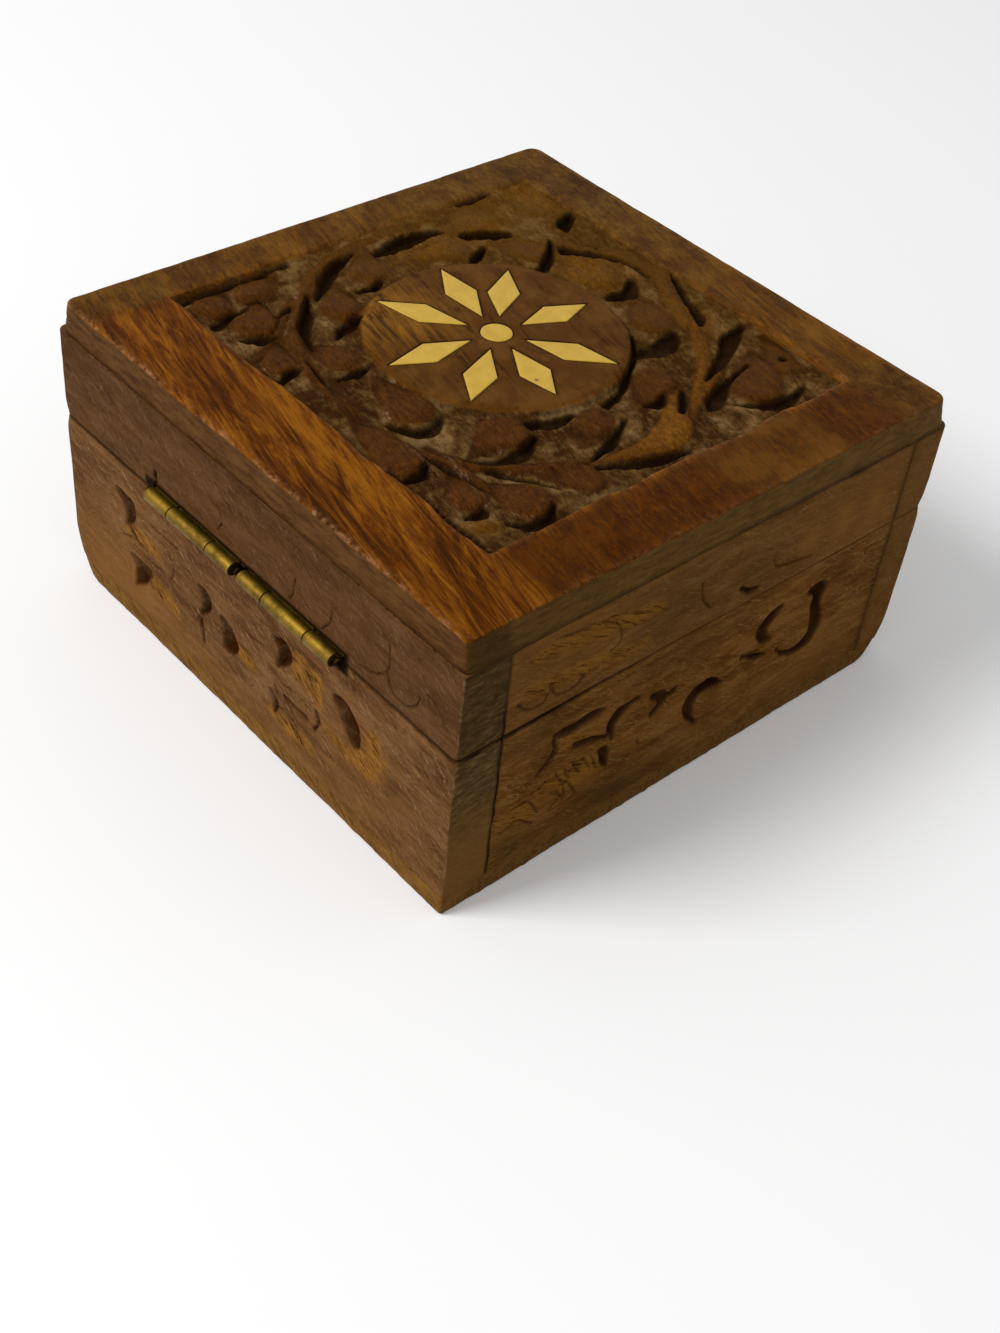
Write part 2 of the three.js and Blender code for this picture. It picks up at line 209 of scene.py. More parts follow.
def barShell(profile, axis, sides):
    # Circles about a line along x through axis (y, z), one for each (x, radius) of the profile.
    y, z = axis
    turn = np.linspace(0, 2 * np.pi, sides, endpoint=False)
    rings = []
    for x, radius in profile:
        rings.append(np.stack([np.full(sides, x), y + radius * np.cos(turn), z + radius * np.sin(turn)], 1))
    return tubeShell(np.array(rings))


def blockShell(low, high):
    # A closed box between its lowest and its highest corner.
    x0, y0, z0 = low
    x1, y1, z1 = high
    ring = np.array([(x1, y1), (x0, y1), (x0, y0), (x1, y0)])
    return tubeShell(np.stack([np.column_stack([ring, np.full(4, z)]) for z in (z0, z1)]))


def taperedEnds(x0, x1, ends):
    # Places from x0 to x1, each with its share of the full size. The rows of ends are distance in and share.
    return [(x0 + far, share) for far, share in ends] + [(x1 - far, share) for far, share in ends[::-1]]


def setMarks(item, marks):
    # Point attributes for the material, worked out from each point's own place in millimetres and its normal.
    mesh = item.data
    count = len(mesh.vertices)
    points, normals = np.empty(count * 3, np.float32), np.empty(count * 3, np.float32)
    mesh.vertices.foreach_get("co", points)
    mesh.vertices.foreach_get("normal", normals)
    for key, value in marks(points.reshape(-1, 3).astype(float) / mm, normals.reshape(-1, 3)).items():
        attribute = mesh.attributes.new(key, "FLOAT", "POINT")
        attribute.data.foreach_set("value", np.asarray(value, np.float32))


def cutOut(item, cutters, shades=55):
    # Takes closed cutters, given as shells, away from a piece and keeps the result as its mesh.
    helpers = []
    for shell in cutters:
        helper = newPiece("cutter", *shell)
        change = item.modifiers.new("cut", "BOOLEAN")
        change.operation = "DIFFERENCE"
        change.solver = "MANIFOLD"
        change.object = helper
        helpers.append(helper)
    graph = bpy.context.evaluated_depsgraph_get()
    before, cut = item.data, bpy.data.meshes.new_from_object(item.evaluated_get(graph))
    item.modifiers.clear()
    item.data = cut
    cut.name = before.name
    bpy.data.meshes.remove(before)
    for helper in helpers:
        bpy.data.meshes.remove(helper.data)
    cut.shade_smooth()
    cut.set_sharp_from_angle(angle=math.radians(shades))


# Boards of the base and of the lid's frame

# Levels where boards meet: bottom board and walls, base and lid, rails and top board
joins = {"foot": 4.0, "kerf": 32.5, "seam": 48.3}

# Upright corners: the radius higher up, at the foot after growing over the reach, and what the kerf adds
corners = {
    "near": {"radius": 0.45, "foot": 0.7, "reach": 5, "kerf": 0.3},
    "worn": {"radius": 1.7, "foot": 7.2, "reach": 11, "kerf": 0.9},
    "plain": {"radius": 1.6, "foot": 4, "reach": 8, "kerf": 0.9},
    "joint": {"radius": 0.22, "foot": 0.22, "reach": 1, "kerf": 0.0},
}
wall = {
    # How round the boards' long edges are, at the foot and at the head: wide at the kerf, close at the seams
    "edges": ((0.12, 0.42), (0.42, 0.1)),
    # How much the boards' meeting edges close the kerf, at a board's foot and at its head
    "kerf": (0.0, 0.14),
    "thickness": 8.5,
    # Distance between points on the faces that the camera sees, and on the others
    "fine": 0.26,
    "hidden": 0.45,
    "rim": 0.3,
    "chips": [(0.5, 1.3, 71), (0.4, 5, 72)],
    "waves": [(0.07, 9, 50), (0.035, 2.2, 51)],
    "sunk": 0.11,
}
# How far the kerf's edges are worn open: anywhere, what the -X side's +Y end adds, and along the back
gape = {"plain": 0.25, "corner": 3.6, "cornerFrom": -5, "face": 46, "back": 2.8}
# Where the seam under the top board stands open on the -X side: its far part, a chip in it, and its +Y end
opened = {"far": (2, 14), "chip": (0.9, -29, 0, 3.5, 1), "near": (40, 46)}


def cornerRadius(kind, z):
    # The radius at a level: it grows with the square of the depth below the reach, and a little at the kerf.
    size = corners[kind]
    grown = (size["foot"] - size["radius"]) * np.clip(1 - z / size["reach"], 0, 1) ** 2
    return size["radius"] + grown + size["kerf"] * np.exp(-(((z - joins["kerf"]) / 1.6) ** 2))


def boardRows(low, high, edges, step):
    # The rows' levels and how far each is drawn in: a quarter circle at both ends, even steps between.
    turn = np.radians([0, 30, 60, 90])
    rise, inset = 1 - np.cos(turn), 1 - np.sin(turn)
    lowEdge, highEdge = edges
    middle = np.linspace(low + lowEdge, high - highEdge, max(3, int((high - low) / step)))[1:-1]
    levels = np.concatenate([low + lowEdge * rise, middle, (high - highEdge * rise)[::-1]])
    return levels, np.concatenate([lowEdge * inset, np.zeros(len(middle)), highEdge * inset[::-1]])


def planLoop(board, z):
    # The board's plan at each level: four quarter circles joined by straight sides, against the clock from
    # the +X +Y corner by the +Y, -X, -Y and +X sides. Gives places and outward normals.
    (x0, y0), (x1, y1) = board["low"], board["high"]
    places = [(x1, y1), (x0, y1), (x0, y0), (x1, y0)]
    toward = [(1, 1), (-1, 1), (-1, -1), (1, -1)]
    outward = [(0, 1), (-1, 0), (0, -1), (1, 0)]
    arcs = []
    for k in range(4):
        radius = cornerRadius(board["corners"][k], z)
        turn = np.radians(90 * k + np.linspace(0, 90, 7))[None, :]
        nx, ny = np.cos(turn) + 0 * z, np.sin(turn) + 0 * z
        x = places[k][0] + radius * (nx - toward[k][0])
        y = places[k][1] + radius * (ny - toward[k][1])
        arcs.append((x, y, nx, ny))
    parts = []
    for k in range(4):
        this, following = arcs[k], arcs[(k + 1) % 4]
        share = np.linspace(0, 1, board["sides"][k] + 1)[None, 1:-1]
        x, y = (this[i][:, -1:] * (1 - share) + following[i][:, :1] * share for i in (0, 1))
        nx, ny = (np.full(x.shape, float(outward[k][i])) for i in (0, 1))
        parts += [this, (x, y, nx, ny)]
    return [np.concatenate([part[i] for part in parts], axis=1) for i in range(4)]


def kerfGape(x, y, nx, ny):
    # Much at the -X +Y corner, some along the back, little elsewhere.
    face = gape["face"]
    onSide = gape["corner"] * smooth(y, gape["cornerFrom"], face) * smooth(-nx, 0, 0.7) * (x < -face)
    onSide = gape["plain"] + onSide
    return onSide + (gape["back"] - onSide) * smooth(ny, 0.2, 0.8) * (y > face)


def seamGape(y, nx):
    # From 0, where the seam is tight, to about 1, on the -X side only.
    far = smooth(-y, *opened["far"]) * (0.5 + spots(y, 0, [opened["chip"]]))
    return smooth(-nx, 0.3, 0.8) * np.maximum(far, smooth(y, *opened["near"]))


def boardPiece(name, board, relief):
    # Rings of the plan at every row, moved along their normals by the relief of the face they belong to.
    levels, insets = boardRows(*board["levels"], board["edges"], board["step"])
    z = levels[:, None]
    x, y, nx, ny = planLoop(board, z)
    z = z + 0 * x
    chip = layers(x + y, x - y, wall["chips"], 1)
    chip = chip * (1 + np.exp(-((z - joins["kerf"]) ** 2)) * (kerfGape(x, y, nx, ny) - 1))
    chip = chip * (1 + 3 * np.exp(-((z - joins["seam"]) ** 2)) * seamGape(y, nx))
    out, inset = relief(x, y, z, nx, ny), insets[:, None] * chip
    low, high = np.array(board["low"]), np.array(board["high"])
    middle, half = (low + high) / 2, (high - low) / 2
    # The rounding draws every point in towards the board's middle, so that no corner folds over
    x = x + nx * out - inset * (x - middle[0]) / half[0]
    y = y + ny * out - inset * (y - middle[1]) / half[1]
    rings = np.stack([x, y, z], -1)
    # One more ring just inside each end keeps the marks of the edges off the flat faces
    shrink = np.append(1 - wall["rim"] / half, 1)
    middle = np.append(middle, 0)
    lowRing, highRing = (middle + (rings[k] - middle) * shrink for k in (0, -1))
    return newPiece(name, *tubeShell(np.concatenate([[lowRing], rings, [highRing]])))


# Carving of the base's walls and the lid's frame. On the back a place is (x, z), on the left side (y, z),
# each with a half width. The front and the right side have the same designs, turned round.

backBase = {
    "gouges": [
        [(34.8, 26.2, 0.2), (32.8, 25.6, 0.9), (31, 24.5, 1.5), (31, 22.4, 0.9), (32.1, 20.3, 0.2)],
        [(31.2, 14.7, 0.2), (28.4, 13.8, 1.0), (25.4, 14.7, 0.2)],
        [(26.6, 13.8, 1.0), (28.2, 12.2, 1.5), (29.4, 10.4, 0.8), (30.3, 8.8, 0.2)],
        [(11.4, 21.4, 0.3), (9.6, 20.2, 1.1), (9.6, 18.2, 0.8), (11, 16.1, 0.2)],
        [(11.3, 14.6, 0.4), (10.9, 12.6, 0.45), (10.6, 10.3, 0.15)],
        [(5.2, 18.9, 0.4), (3.6, 17.3, 1.5), (3.2, 15.4, 1.8), (4.8, 13.4, 0.4)],
        [(-7.6, 13.6, 0.2), (-8.9, 12.2, 0.5), (-8.9, 10.8, 0.5), (-8.6, 9.6, 0.15)],
        [(-8.6, 25, 0.5), (-11, 24.6, 1.2), (-10.8, 22.6, 1.3), (-9.2, 19.8, 0.3)],
        [(-23.6, 24.2, 0.5), (-25.8, 23.6, 1.4), (-27.7, 21.2, 1.7), (-28.7, 18.6, 0.6)],
        [(-11.2, 15, 0.1), (-13.6, 14.7, 0.15), (-16.8, 14.8, 0.1)],
        [(-19, 17.8, 0.1), (-19.7, 16, 0.25), (-18.8, 13.7, 0.1)],
    ],
    "lines": [
        [(33.6, 17.4), (30.2, 18.6), (26.4, 18.2)],
        [(30.2, 17.4), (26, 16.8), (22.4, 17.2)],
        [(20, 22.4), (18.6, 20), (19.4, 17.4)],
        [(-9.6, 11.6), (-12, 11.8), (-14.4, 11.2)],
        [(24.4, 24.6), (21, 24.9), (17.6, 24.7)],
        [(-10.4, 17), (-14, 17.6), (-17.6, 17)],
        [(2.4, 21.8), (-2, 21), (-5.6, 21.4)],
    ],
    "patches": [
        [(-13.2, 23.6, 1.4), (-16.6, 23, 2.6), (-19, 21.4, 1.8)],
        [(-22.6, 16.2, 1.0), (-27.6, 15.6, 1.6), (-32, 17.4, 2.4), (-33, 21.6, 1.8)],
        [(26, 12.4, 1.2), (21.6, 12, 1.6), (18.8, 11.6, 0.8)],
        [(0.6, 15.4, 0.9), (-2.4, 15.2, 0.7)],
        [(31.4, 20.2, 0.6), (27.4, 19.6, 1.1), (24, 20, 0.8)],
        [(-9, 9.4, 0.8), (-13, 9.2, 1.3), (-17.4, 8.8, 0.7)],
    ],
}
backRail = {
    "gouges": [[(22.9, 36.6, 0.2), (23, 35.4, 0.5), (22.9, 34.4, 0.3)], [(3.6, 49.3, 0.3),
                (3.4, 49.2, 0.3)]],
    "lines": [
        [(-22, 39.8), (-21.6, 37.4), (-19.9, 35.1)],
        [(-29, 34.9), (-32.4, 35.8), (-35, 38.6), (-35, 43)],
        [(-34.6, 37.6), (-36.1, 35.2), (-38.8, 34.7), (-41, 36.2), (-41.8, 38.4)],
        [(-13.4, 39.8), (-13, 37), (-12.2, 35.4)],
        [(-43.4, 40.2), (-45.3, 39.7)],
        [(6, 41), (5, 38.4), (6, 36.4)],
    ],
    "patches": [],
}
sideBase = {
    "gouges": [
        [(-5.7, 16.6, 0.2), (-2.6, 18, 0.9), (0.3, 17.7, 1.3), (1.5, 15.4, 1.2), (0.7, 12.6, 0.6),
         (-1.1, 10.3, 0.1)],
        [(13.8, 24.4, 0.15), (16.6, 24.2, 0.4), (18.8, 23, 0.9), (19.4, 21.2, 0.8), (18.7, 18.4, 0.2)],
        [(21.2, 17.2, 0.2), (20, 16.2, 0.8), (19.7, 14.4, 0.6), (19, 12.7, 0.15)],
        [(11.2, 22.8, 0.3), (9.1, 21.8, 1.0), (8.6, 20.6, 0.9), (10.4, 18.6, 0.3)],
        [(7.8, 21, 0.5), (5.6, 21.6, 0.2)],
        [(31.8, 26.5, 0.3), (28, 26, 0.8), (24.6, 26.3, 0.7), (21.6, 26.2, 0.2)],
        [(31.6, 25.6, 0.3), (31.2, 23.6, 0.35), (32.4, 21.6, 0.3), (34.4, 20.2, 0.15)],
        [(27, 21.8, 0.2), (24, 21, 0.4), (20.3, 19.8, 0.2)],
        [(-17, 26.8, 0.4), (-15, 25.6, 1.0), (-13.6, 23.6, 1.2), (-14.4, 21.4, 0.8), (-16.2, 20.3, 0.2)],
        [(-24.2, 26.4, 0.5), (-26.6, 25.7, 1.4), (-26.5, 23, 1.1), (-27, 20.4, 1.1), (-28, 17.4, 1.4),
         (-27.2, 14.9, 1.1)],
        [(-27.2, 14.9, 1.1), (-24, 14, 0.6), (-20.6, 14.8, 0.35), (-18.6, 16.8, 0.15)],
        [(-9.6, 19.8, 0.15), (-12.6, 18.4, 0.4), (-15.6, 17.4, 0.15)],
    ],
    "lines": [
        [(6.3, 27.7), (-1.1, 24.1), (-8.9, 20.6), (-13.9, 19.2)],
        [(35, 16.4), (31.4, 17), (28.4, 15), (27.6, 11.6)],
        [(31, 14), (28.6, 12.2), (30.4, 10.4)],
        [(13, 14.6), (12.2, 13.6)],
        [(26.4, 17.4), (24.6, 14.4)],
        [(24.4, 17.6), (22.4, 14)],
        [(28.4, 17.6), (26.8, 14.6)],
        [(30.2, 18), (28.8, 15.2)],
        [(22.8, 17.2), (21, 13.4)],
        [(29.4, 13.6), (27.8, 11)],
        [(26.6, 13.2), (25.2, 10.8)],
        [(39, 15), (36.4, 15.6), (34.6, 14.2), (33, 11.4)],
        [(40.6, 11.4), (37, 11.8), (34, 9.6)],
    ],
    "patches": [
        [(32.4, 16.6, 1.2), (27, 15.8, 2.4), (22.4, 14.4, 1.5)],
        [(40.4, 14, 1.4), (35, 12.6, 1.6)],
        [(29, 23.2, 0.9), (23, 22.6, 0.6)],
    ],
}
sideRail = {
    "gouges": [[(-5.2, 36.3, 0.15), (-7.4, 34.8, 0.3), (-9.2, 34.5, 0.15)]],
    "lines": [
        [(25.7, 45.3), (21.8, 42.8), (20.8, 39.6), (22.2, 38)],
        [(34, 37.4), (32.6, 35.4), (29.6, 34.9), (27.2, 36)],
        [(40.3, 37.6), (38.3, 35.6), (35.5, 35.2), (34.4, 36.4)],
        [(-11.8, 38.8), (-13.2, 36.8), (-16.4, 36), (-21.4, 35.2)],
        [(4.6, 42), (3.6, 38.4), (1.4, 35.8)],
        [(34, 46.4), (27, 45.4), (20.6, 44.6)],
    ],
    "patches": [[(38, 45, 0.8), (26, 43.6, 1.4), (14, 42, 0.8)], [(38, 38.6, 0.8), (28, 37.6, 1.2),
                 (16, 35.8, 0.7)]],
}
# How deep the cuts are, how wide a knife line is, and how much wider than drawn the gouges are
wallCarving = {
    "gougeDepth": 1.3,
    "lineDepth": 0.32,
    "lineWidth": 0.17,
    "patchDepth": 0.2,
    "wider": 0.16,
    # How ragged the edges of the gouges, lines and patches are
    "rough": (0.22, 0.05, 0.9),
}


def carvingPaths(face):
    # The drawn rows of one face as smooth curves, each with its half width.
    paths = {kind: [curveThrough(rows) for rows in face[kind]] for kind in ("gouges", "patches")}
    width = wallCarving["lineWidth"]
    paths["lines"] = [curveThrough([(*place, width) for place in rows]) for rows in face["lines"]]
    return paths


def carvedFace(paths, along, z):
    # Distances on one face to its gouge cuts, knife lines and scraped patches.
    onGouge, onLine, onPatch = wallCarving["rough"]
    gouge = nearestOf(paths["gouges"], along, z, onGouge)[0] - wallCarving["wider"]
    line = nearestOf(paths["lines"], along, z, onLine)[0]
    patch = nearestOf(paths["patches"], along, z, onPatch, 3)[0]
    return gouge, line, patch


def facesOf(paths, x, y, z, nx, ny):
    # Each outer side in turn: how much a point belongs to it, and the distances there.
    for share, key, along in ((ny, "back", x), (-ny, "back", -x), (-nx, "side", y), (nx, "side", -y)):
        yield np.clip(share, 0, 1) ** 2, *carvedFace(paths[key], along, z)


def wallRelief(paths, outer):
    # Low waves of the plane and the scraper, less the depth of the cuts.
    def relief(x, y, z, nx, ny):
        around = np.where(np.abs(nx) > np.abs(ny), y, x)
        depth = -(layers(around, z, wall["waves"]) - wall["sunk"])
        for share, gouge, line, patch in facesOf(paths, x, y, z, nx, ny):
            scraped = smooth(-patch, -1.2, 0.8)
            pits = 0.5 + 0.5 * noise(0.3 * (around + z), 1.1 * (around - z), 0.8, 52)
            depth = depth + share * wallCarving["gougeDepth"] * smooth(-gouge, -0.2, 0.8)
            depth = depth + share * wallCarving["lineDepth"] * smooth(-line, -0.1, 0.1)
            depth = depth + share * wallCarving["patchDepth"] * scraped * (0.5 + 1.6 * pits)
        return -depth * outer(nx, ny)

    return relief


# Dirt and painted shade, wear and uneven colour of the walls. Spots are strength, middle along the face and
# up, and reach.
wallAge = {
    # Where the outer faces begin and where the joints on the sides lie, from the box's middle
    "outside": (47.4, 47.8),
    "joint": 42.5,
    # Where the dirt and painted shade of the kerf, and the dirt of the upper seam, are thickest
    "kerf": 32.45,
    "seam": 48.35,
    "backPale": [(1, 36, 8, 17, 9), (0.7, 0, 6, 30, 3), (0.5, -30, 12, 12, 8)],
    "sidePale": [
        (0.3, 32, 42, 14, 8),
        (0.6, -26, 9, 16, 5),
        (0.2, 28, 14, 8, 5),
        (1, -20.5, 38.5, 2.2, 3),
        (1, -28, 40, 2, 3.4),
        (1, -35.5, 40, 2, 3.4),
    ],
    "farEnd": (1, -46, 41, 20, 5),
    "sideDull": [
        (0.45, -8, 39, 6, 7),
        (0.9, 15, 6, 12, 4),
        (0.6, 35, 29, 8, 3),
        (0.5, 9, 40, 9, 9),
        (0.4, 5, 29, 12, 3),
        (0.7, 38, 7, 5, 5),
    ],
}


def cutShadeAndDirt(paths, x, y, z, nx, ny):
    # Painted shade and dirt in the cuts, uneven and weaker in the side's +Y half, and paler wood where a
    # patch was scraped.
    soft = 0.85 + 0.15 * noise(x + y, z, 2.4, 60) - 0.22 * smooth(y, 21, 25) * smooth(-nx, 0.3, 0.7)
    stain, ochre = np.zeros(len(x)), np.zeros(len(x))
    for share, gouge, line, patch in facesOf(paths, x, y, z, nx, ny):
        inCut = np.maximum(soft * smooth(-gouge, -0.4, 0.3), 0.5 * smooth(-line, -0.2, 0.08))
        stain = np.maximum(stain, smooth(share, 0.004, 0.03) * inCut)
        ochre = np.maximum(ochre, smooth(share, 0.1, 0.5) * smooth(-patch, -1.4, 0.6))
    return stain, ochre


def jointCrack(y, z, nx):
    # The joints seen on the sides: a thin black crack near the +Y edge, a soft groove near the other one.
    near = y > 0
    wander = 0.12 * near * noise(z, y * 0, 2.2, 59)
    away = np.abs(np.abs(y) - wallAge["joint"] + wander) - 0.14
    strength = np.where(near, 0.45 + 0.55 * smooth(-z, -41, -37), 0.6)
    return strength * fade(away, np.where(near, 0.14, 0.6)) * smooth(np.abs(nx), 0.4, 0.8)


def kerfShadeAndDirt(x, y, z, nx, ny, nz):
    # Painted shade and dirt: black in the open kerf, fading off its worn edges, a little less where they face
    # up or down.
    sideways = np.maximum(np.hypot(nx, ny), 0.05)
    wide = 0.075 * kerfGape(x, y, nx / sideways, ny / sideways)
    away = np.abs(z - wallAge["kerf"] + 0.5 * noise(y, z, 1.1, 58) * wide) - wide
    kerfDark = fade(away, 0.08 + 0.3 * wide) * (0.4 + 0.6 * smooth(wide, 0.06, 0.25))
    return kerfDark * (1 - 0.2 * smooth(np.abs(nz), 0.5, 0.9))


def seamDirt(y, z, nx):
    # The seams under the top board and over the bottom board.
    wide = 0.35 - 0.15 * smooth(-nx, 0.3, 0.7) + 0.7 * seamGape(y, nx)
    upper = wide * np.exp(-np.abs(z - wallAge["seam"]) / (0.15 + 0.3 * wide))
    return upper + 0.35 * np.exp(-np.abs(z - joins["foot"]) / 0.2)


def barrelGrooveShade(x, y, z):
    # Painted shade where the hinges' barrels lie in their groove.
    axisY, axisZ = hinges["axis"]
    return smooth(-np.hypot(y - axisY, z - axisZ), -2.6, -2.0) * smooth(-np.abs(x + 0.3), -26.5, -25.5)


def wallMarks(paths, outer):
    # What the wall's material reads at each point, from 0 to 1.
    def marks(points, normals):
        x, y, z = points.T
        nx, ny, nz = normals.T
        sideways = np.hypot(nx, ny)
        outside = smooth(np.maximum(np.abs(x), np.abs(y)), *wallAge["outside"])
        outward = np.clip(outer(nx, ny), 0, 1) * smooth(sideways, 0.4, 0.8) * outside
        outerFaces = outside * smooth(outer(nx, ny), 0.02, 0.12)
        stain, ochre = cutShadeAndDirt(paths, x, y, z, nx, ny)
        crack = np.maximum(jointCrack(y, z, nx), kerfShadeAndDirt(x, y, z, nx, ny, nz))
        crack = np.maximum(crack, seamDirt(y, z, nx))
        onSide, onBack = smooth(-nx, 0.3, 0.7), smooth(ny, 0.3, 0.7)
        farEnd = 0.3 * smooth(-y, 41, 43)
        pale = spots(y, z, wallAge["sidePale"]) + 0.45 * smooth(-y, 14, 34) * smooth(z, 32.4, 32.6)
        pale = pale + farEnd * ((z < joins["kerf"]) + spots(y, z, [wallAge["farEnd"]]))
        wearAndHighlight = smooth(np.minimum(np.abs(nx), np.abs(ny)), 0.25, 0.6) * (sideways > 0.8)
        onEnd = smooth(np.abs(nx), 0.6, 0.9) * smooth(np.abs(y), 42.3, 42.5)
        return {
            # Painted shade with dirt in the cuts; cracks of the joints, with painted shade and dirt in the
            # kerf and round the barrels
            "stain": stain * outerFaces,
            "crack": np.maximum(crack * outerFaces, barrelGrooveShade(x, y, z)),
            "pale": (onBack * spots(x, z, wallAge["backPale"]) + onSide * pale) * outward,
            "dull": onSide * spots(y, z, wallAge["sideDull"]) * outward,
            "ochre": ochre * outward,
            "endGrain": onEnd * np.where(y > 0, 1, 0.3),
            "wearAndHighlight": wearAndHighlight * outward,
            "inside": 1 - outward,
        }

    return marks


def makeFrame(prefix, level, back, side, body, names):
    # The four boards of the base or of the lid's frame.
    low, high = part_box(names["front"])
    z0, z1 = low[2] / mm - wall["kerf"][level], high[2] / mm + wall["kerf"][1 - level]
    halfX, halfY = -low[0] / mm, -low[1] / mm
    inX, inY = halfX - wall["thickness"], halfY - wall["thickness"]
    paths = {"back": carvingPaths(back), "side": carvingPaths(side)}
    # Low and high corner, the four upright corners, and which way the outer face looks
    boards = {
        "back": ((-halfX, inY), (halfX, halfY), ("worn", "near", "joint", "joint"), (0, 1)),
        "front": ((-halfX, -halfY), (halfX, -inY), ("joint", "joint", "worn", "plain"), (0, -1)),
        "left": ((-halfX, -inY), (-inX, inY), ("joint",) * 4, (-1, 0)),
        "right": ((inX, -inY), (halfX, inY), ("joint",) * 4, (1, 0)),
    }
    made = {}
    for key, (corner0, corner1, kinds, face) in boards.items():
        step = wall["fine"] if key in ("back", "left") else wall["hidden"]
        long, short = (corner1[0] - corner0[0]), (corner1[1] - corner0[1])
        counts = [6, 6, 6, 6]
        if face[1]:
            counts[0 if face[1] > 0 else 2] = int(long / step)
            counts[1] = counts[3] = int(short / 0.4)
            outer = lambda nx, ny, face=face: np.clip(ny * face[1], 0, 1) + np.abs(nx)
        else:
            counts[1 if face[0] < 0 else 3] = int(short / step)
            outer = lambda nx, ny, face=face: np.clip(nx * face[0], 0, 1)
        board = {
            "low": corner0,
            "high": corner1,
            "corners": kinds,
            "sides": counts,
            "levels": (z0, z1),
            "edges": wall["edges"][level],
            "step": step,
        }
        piece = boardPiece(prefix + key.capitalize(), board, wallRelief(paths, outer))
        if key == "back":
            cutOut(piece, hingeRecess(level))
        setMarks(piece, wallMarks(paths, outer))
        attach(piece, body)
        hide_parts(names[key])
        made[key] = piece
    return made


# Hinges: two alike, end to end, the second one turned over

hinges = {
    "middles": (12.05, -12.65),
    "length": 22.6,
    "axis": (51.7, 32.5),
    "radius": 1.22,
    "sheet": 0.5,
    # Where the roll starts and ends on the circle round the pin, in degrees, and where its strip comes from
    "roll": (216, 528),
    "rollFrom": (49.2, 31.9),
    "leafEdge": 44.1,
    "plateEnd": 49.7,
    "leafThickness": 0.8,
    # Levels of the meeting edges of the base and of the lid's frame
    "faces": (32.3, 32.7),
    "middleKnuckle": 10.2,
    "knuckleGap": 0.15,
    "knuckleEnds": [(0, 0.72), (0.08, 0.92), (0.2, 1.0)],
    "pin": 0.68,
    "pinInset": 0.35,
    "pinEnds": [(0, 0.5), (0.06, 0.8), (0.2, 1)],
    "play": 0.2,
    "groove": {"wider": 0.5, "past": 1.6},
}
# Radius and height of the screw's profile from its tip to the middle of its head, and its slot
screws = {
    "fromEnd": 5,
    "y": 46.7,
    "profile": [
        (0.05, -7),
        (0.4, -6.6),
        (0.78, -5.6),
        (0.78, -0.7),
        (1.36, -0.12),
        (1.5, -0.04),
        (1.42, 0),
        (1.0, 0.0),
    ],
    "slot": {"half": (2, 0.2), "deep": 0.34},
    "turns": (0.5, 1.9, 1.1, 2.7),
}


def hingeRecess(level):
    # Cutters for one back board: a shallow recess for the leaves and a round groove for the barrel.
    groove, play = hinges["groove"], hinges["play"]
    x0 = hinges["middles"][1] - hinges["length"] / 2
    x1 = hinges["middles"][0] + hinges["length"] / 2
    face, sign = hinges["faces"][level], (-1, 1)[level]
    levels = sorted([face + sign * hinges["leafThickness"], face - 2 * sign])
    block = blockShell((x0 - play, 43.9, levels[0]), (x1 + play, 53, levels[1]))
    radius = hinges["radius"] + groove["wider"]
    return [block, barShell([(x0 - groove["past"], radius), (x1 + play, radius)], hinges["axis"], 40)]


def rolledKnuckle(x0, x1, up):
    # A strip of sheet carried along a line: flat from the plate, then round the pin for most of a turn.
    y, z = hinges["axis"]
    half = hinges["sheet"] / 2
    radius = hinges["radius"] - half
    turn = np.radians(np.linspace(*hinges["roll"], 44))
    arc = np.stack([y + radius * np.cos(turn), z + radius * np.sin(turn)], 1)
    start, level = hinges["rollFrom"]
    flat = np.stack([np.linspace(start, arc[0, 0] - 0.3, 5), np.full(5, level)], 1)
    line = np.vstack([flat, arc])
    slope = np.gradient(line, axis=0)
    slope /= np.linalg.norm(slope, axis=1)[:, None]
    normal = np.stack([-slope[:, 1], slope[:, 0]], 1)
    rings = []
    for x, thin in taperedEnds(x0, x1, hinges["knuckleEnds"]):
        ring = np.vstack([line + normal * half * thin, (line - normal * half * thin)[::-1]])
        rings.append(np.column_stack([np.full(len(ring), x), ring]))
    rings = np.array(rings)
    if up < 0:
        rings[:, :, 2] = 2 * z - rings[:, :, 2]
        rings = rings[::-1]
    count, length = rings.shape[:2]
    index = np.arange(count * length).reshape(count, length)
    after = np.roll(index, -1, axis=1)
    quads = [np.stack([index[:-1], index[1:], after[1:], after[:-1]], -1).reshape(-1, 4)]
    k = np.arange(length // 2 - 1)
    for ring, flip in ((index[0], False), (index[-1], True)):
        cap = np.stack([ring[k], ring[k + 1], ring[length - 2 - k], ring[length - 1 - k]], 1)
        quads.append(cap[:, ::-1] if flip else cap)
    return rings.reshape(-1, 3), np.vstack(quads), np.empty((0, 3), int)


def hingeLeaf(name, middle, level, hasMiddle):
    # A thin plate with slightly rounded edges, and the middle knuckle or the two outer ones.
    half, part, gap = hinges["length"] / 2, hinges["middleKnuckle"] / 2, hinges["knuckleGap"]
    if hasMiddle:
        stretches = [(middle - part, middle + part)]
    else:
        stretches = [(middle - half, middle - part - gap), (middle + part + gap, middle + half)]
    face, thick = hinges["faces"][level], hinges["leafThickness"]
    levels = (face - thick, face) if level == 0 else (face, face + thick)
    plate = {
        "low": (middle - half, hinges["leafEdge"]),
        "high": (middle + half, hinges["plateEnd"]),
        "corners": ("joint",) * 4,
        "sides": (60, 14, 60, 14),
    }
    rows, insets = boardRows(*levels, (0.12, 0.12), 0.2)
    x, y, nx, ny = planLoop(plate, rows[:, None])
    rings = np.stack([x - nx * insets[:, None], y - ny * insets[:, None], rows[:, None] + 0 * x], -1)
    shells = [tubeShell(rings)] + [rolledKnuckle(a, b, 1 if level == 0 else -1) for a, b in stretches]
    return newPiece(name, *joined(shells), shades=40)


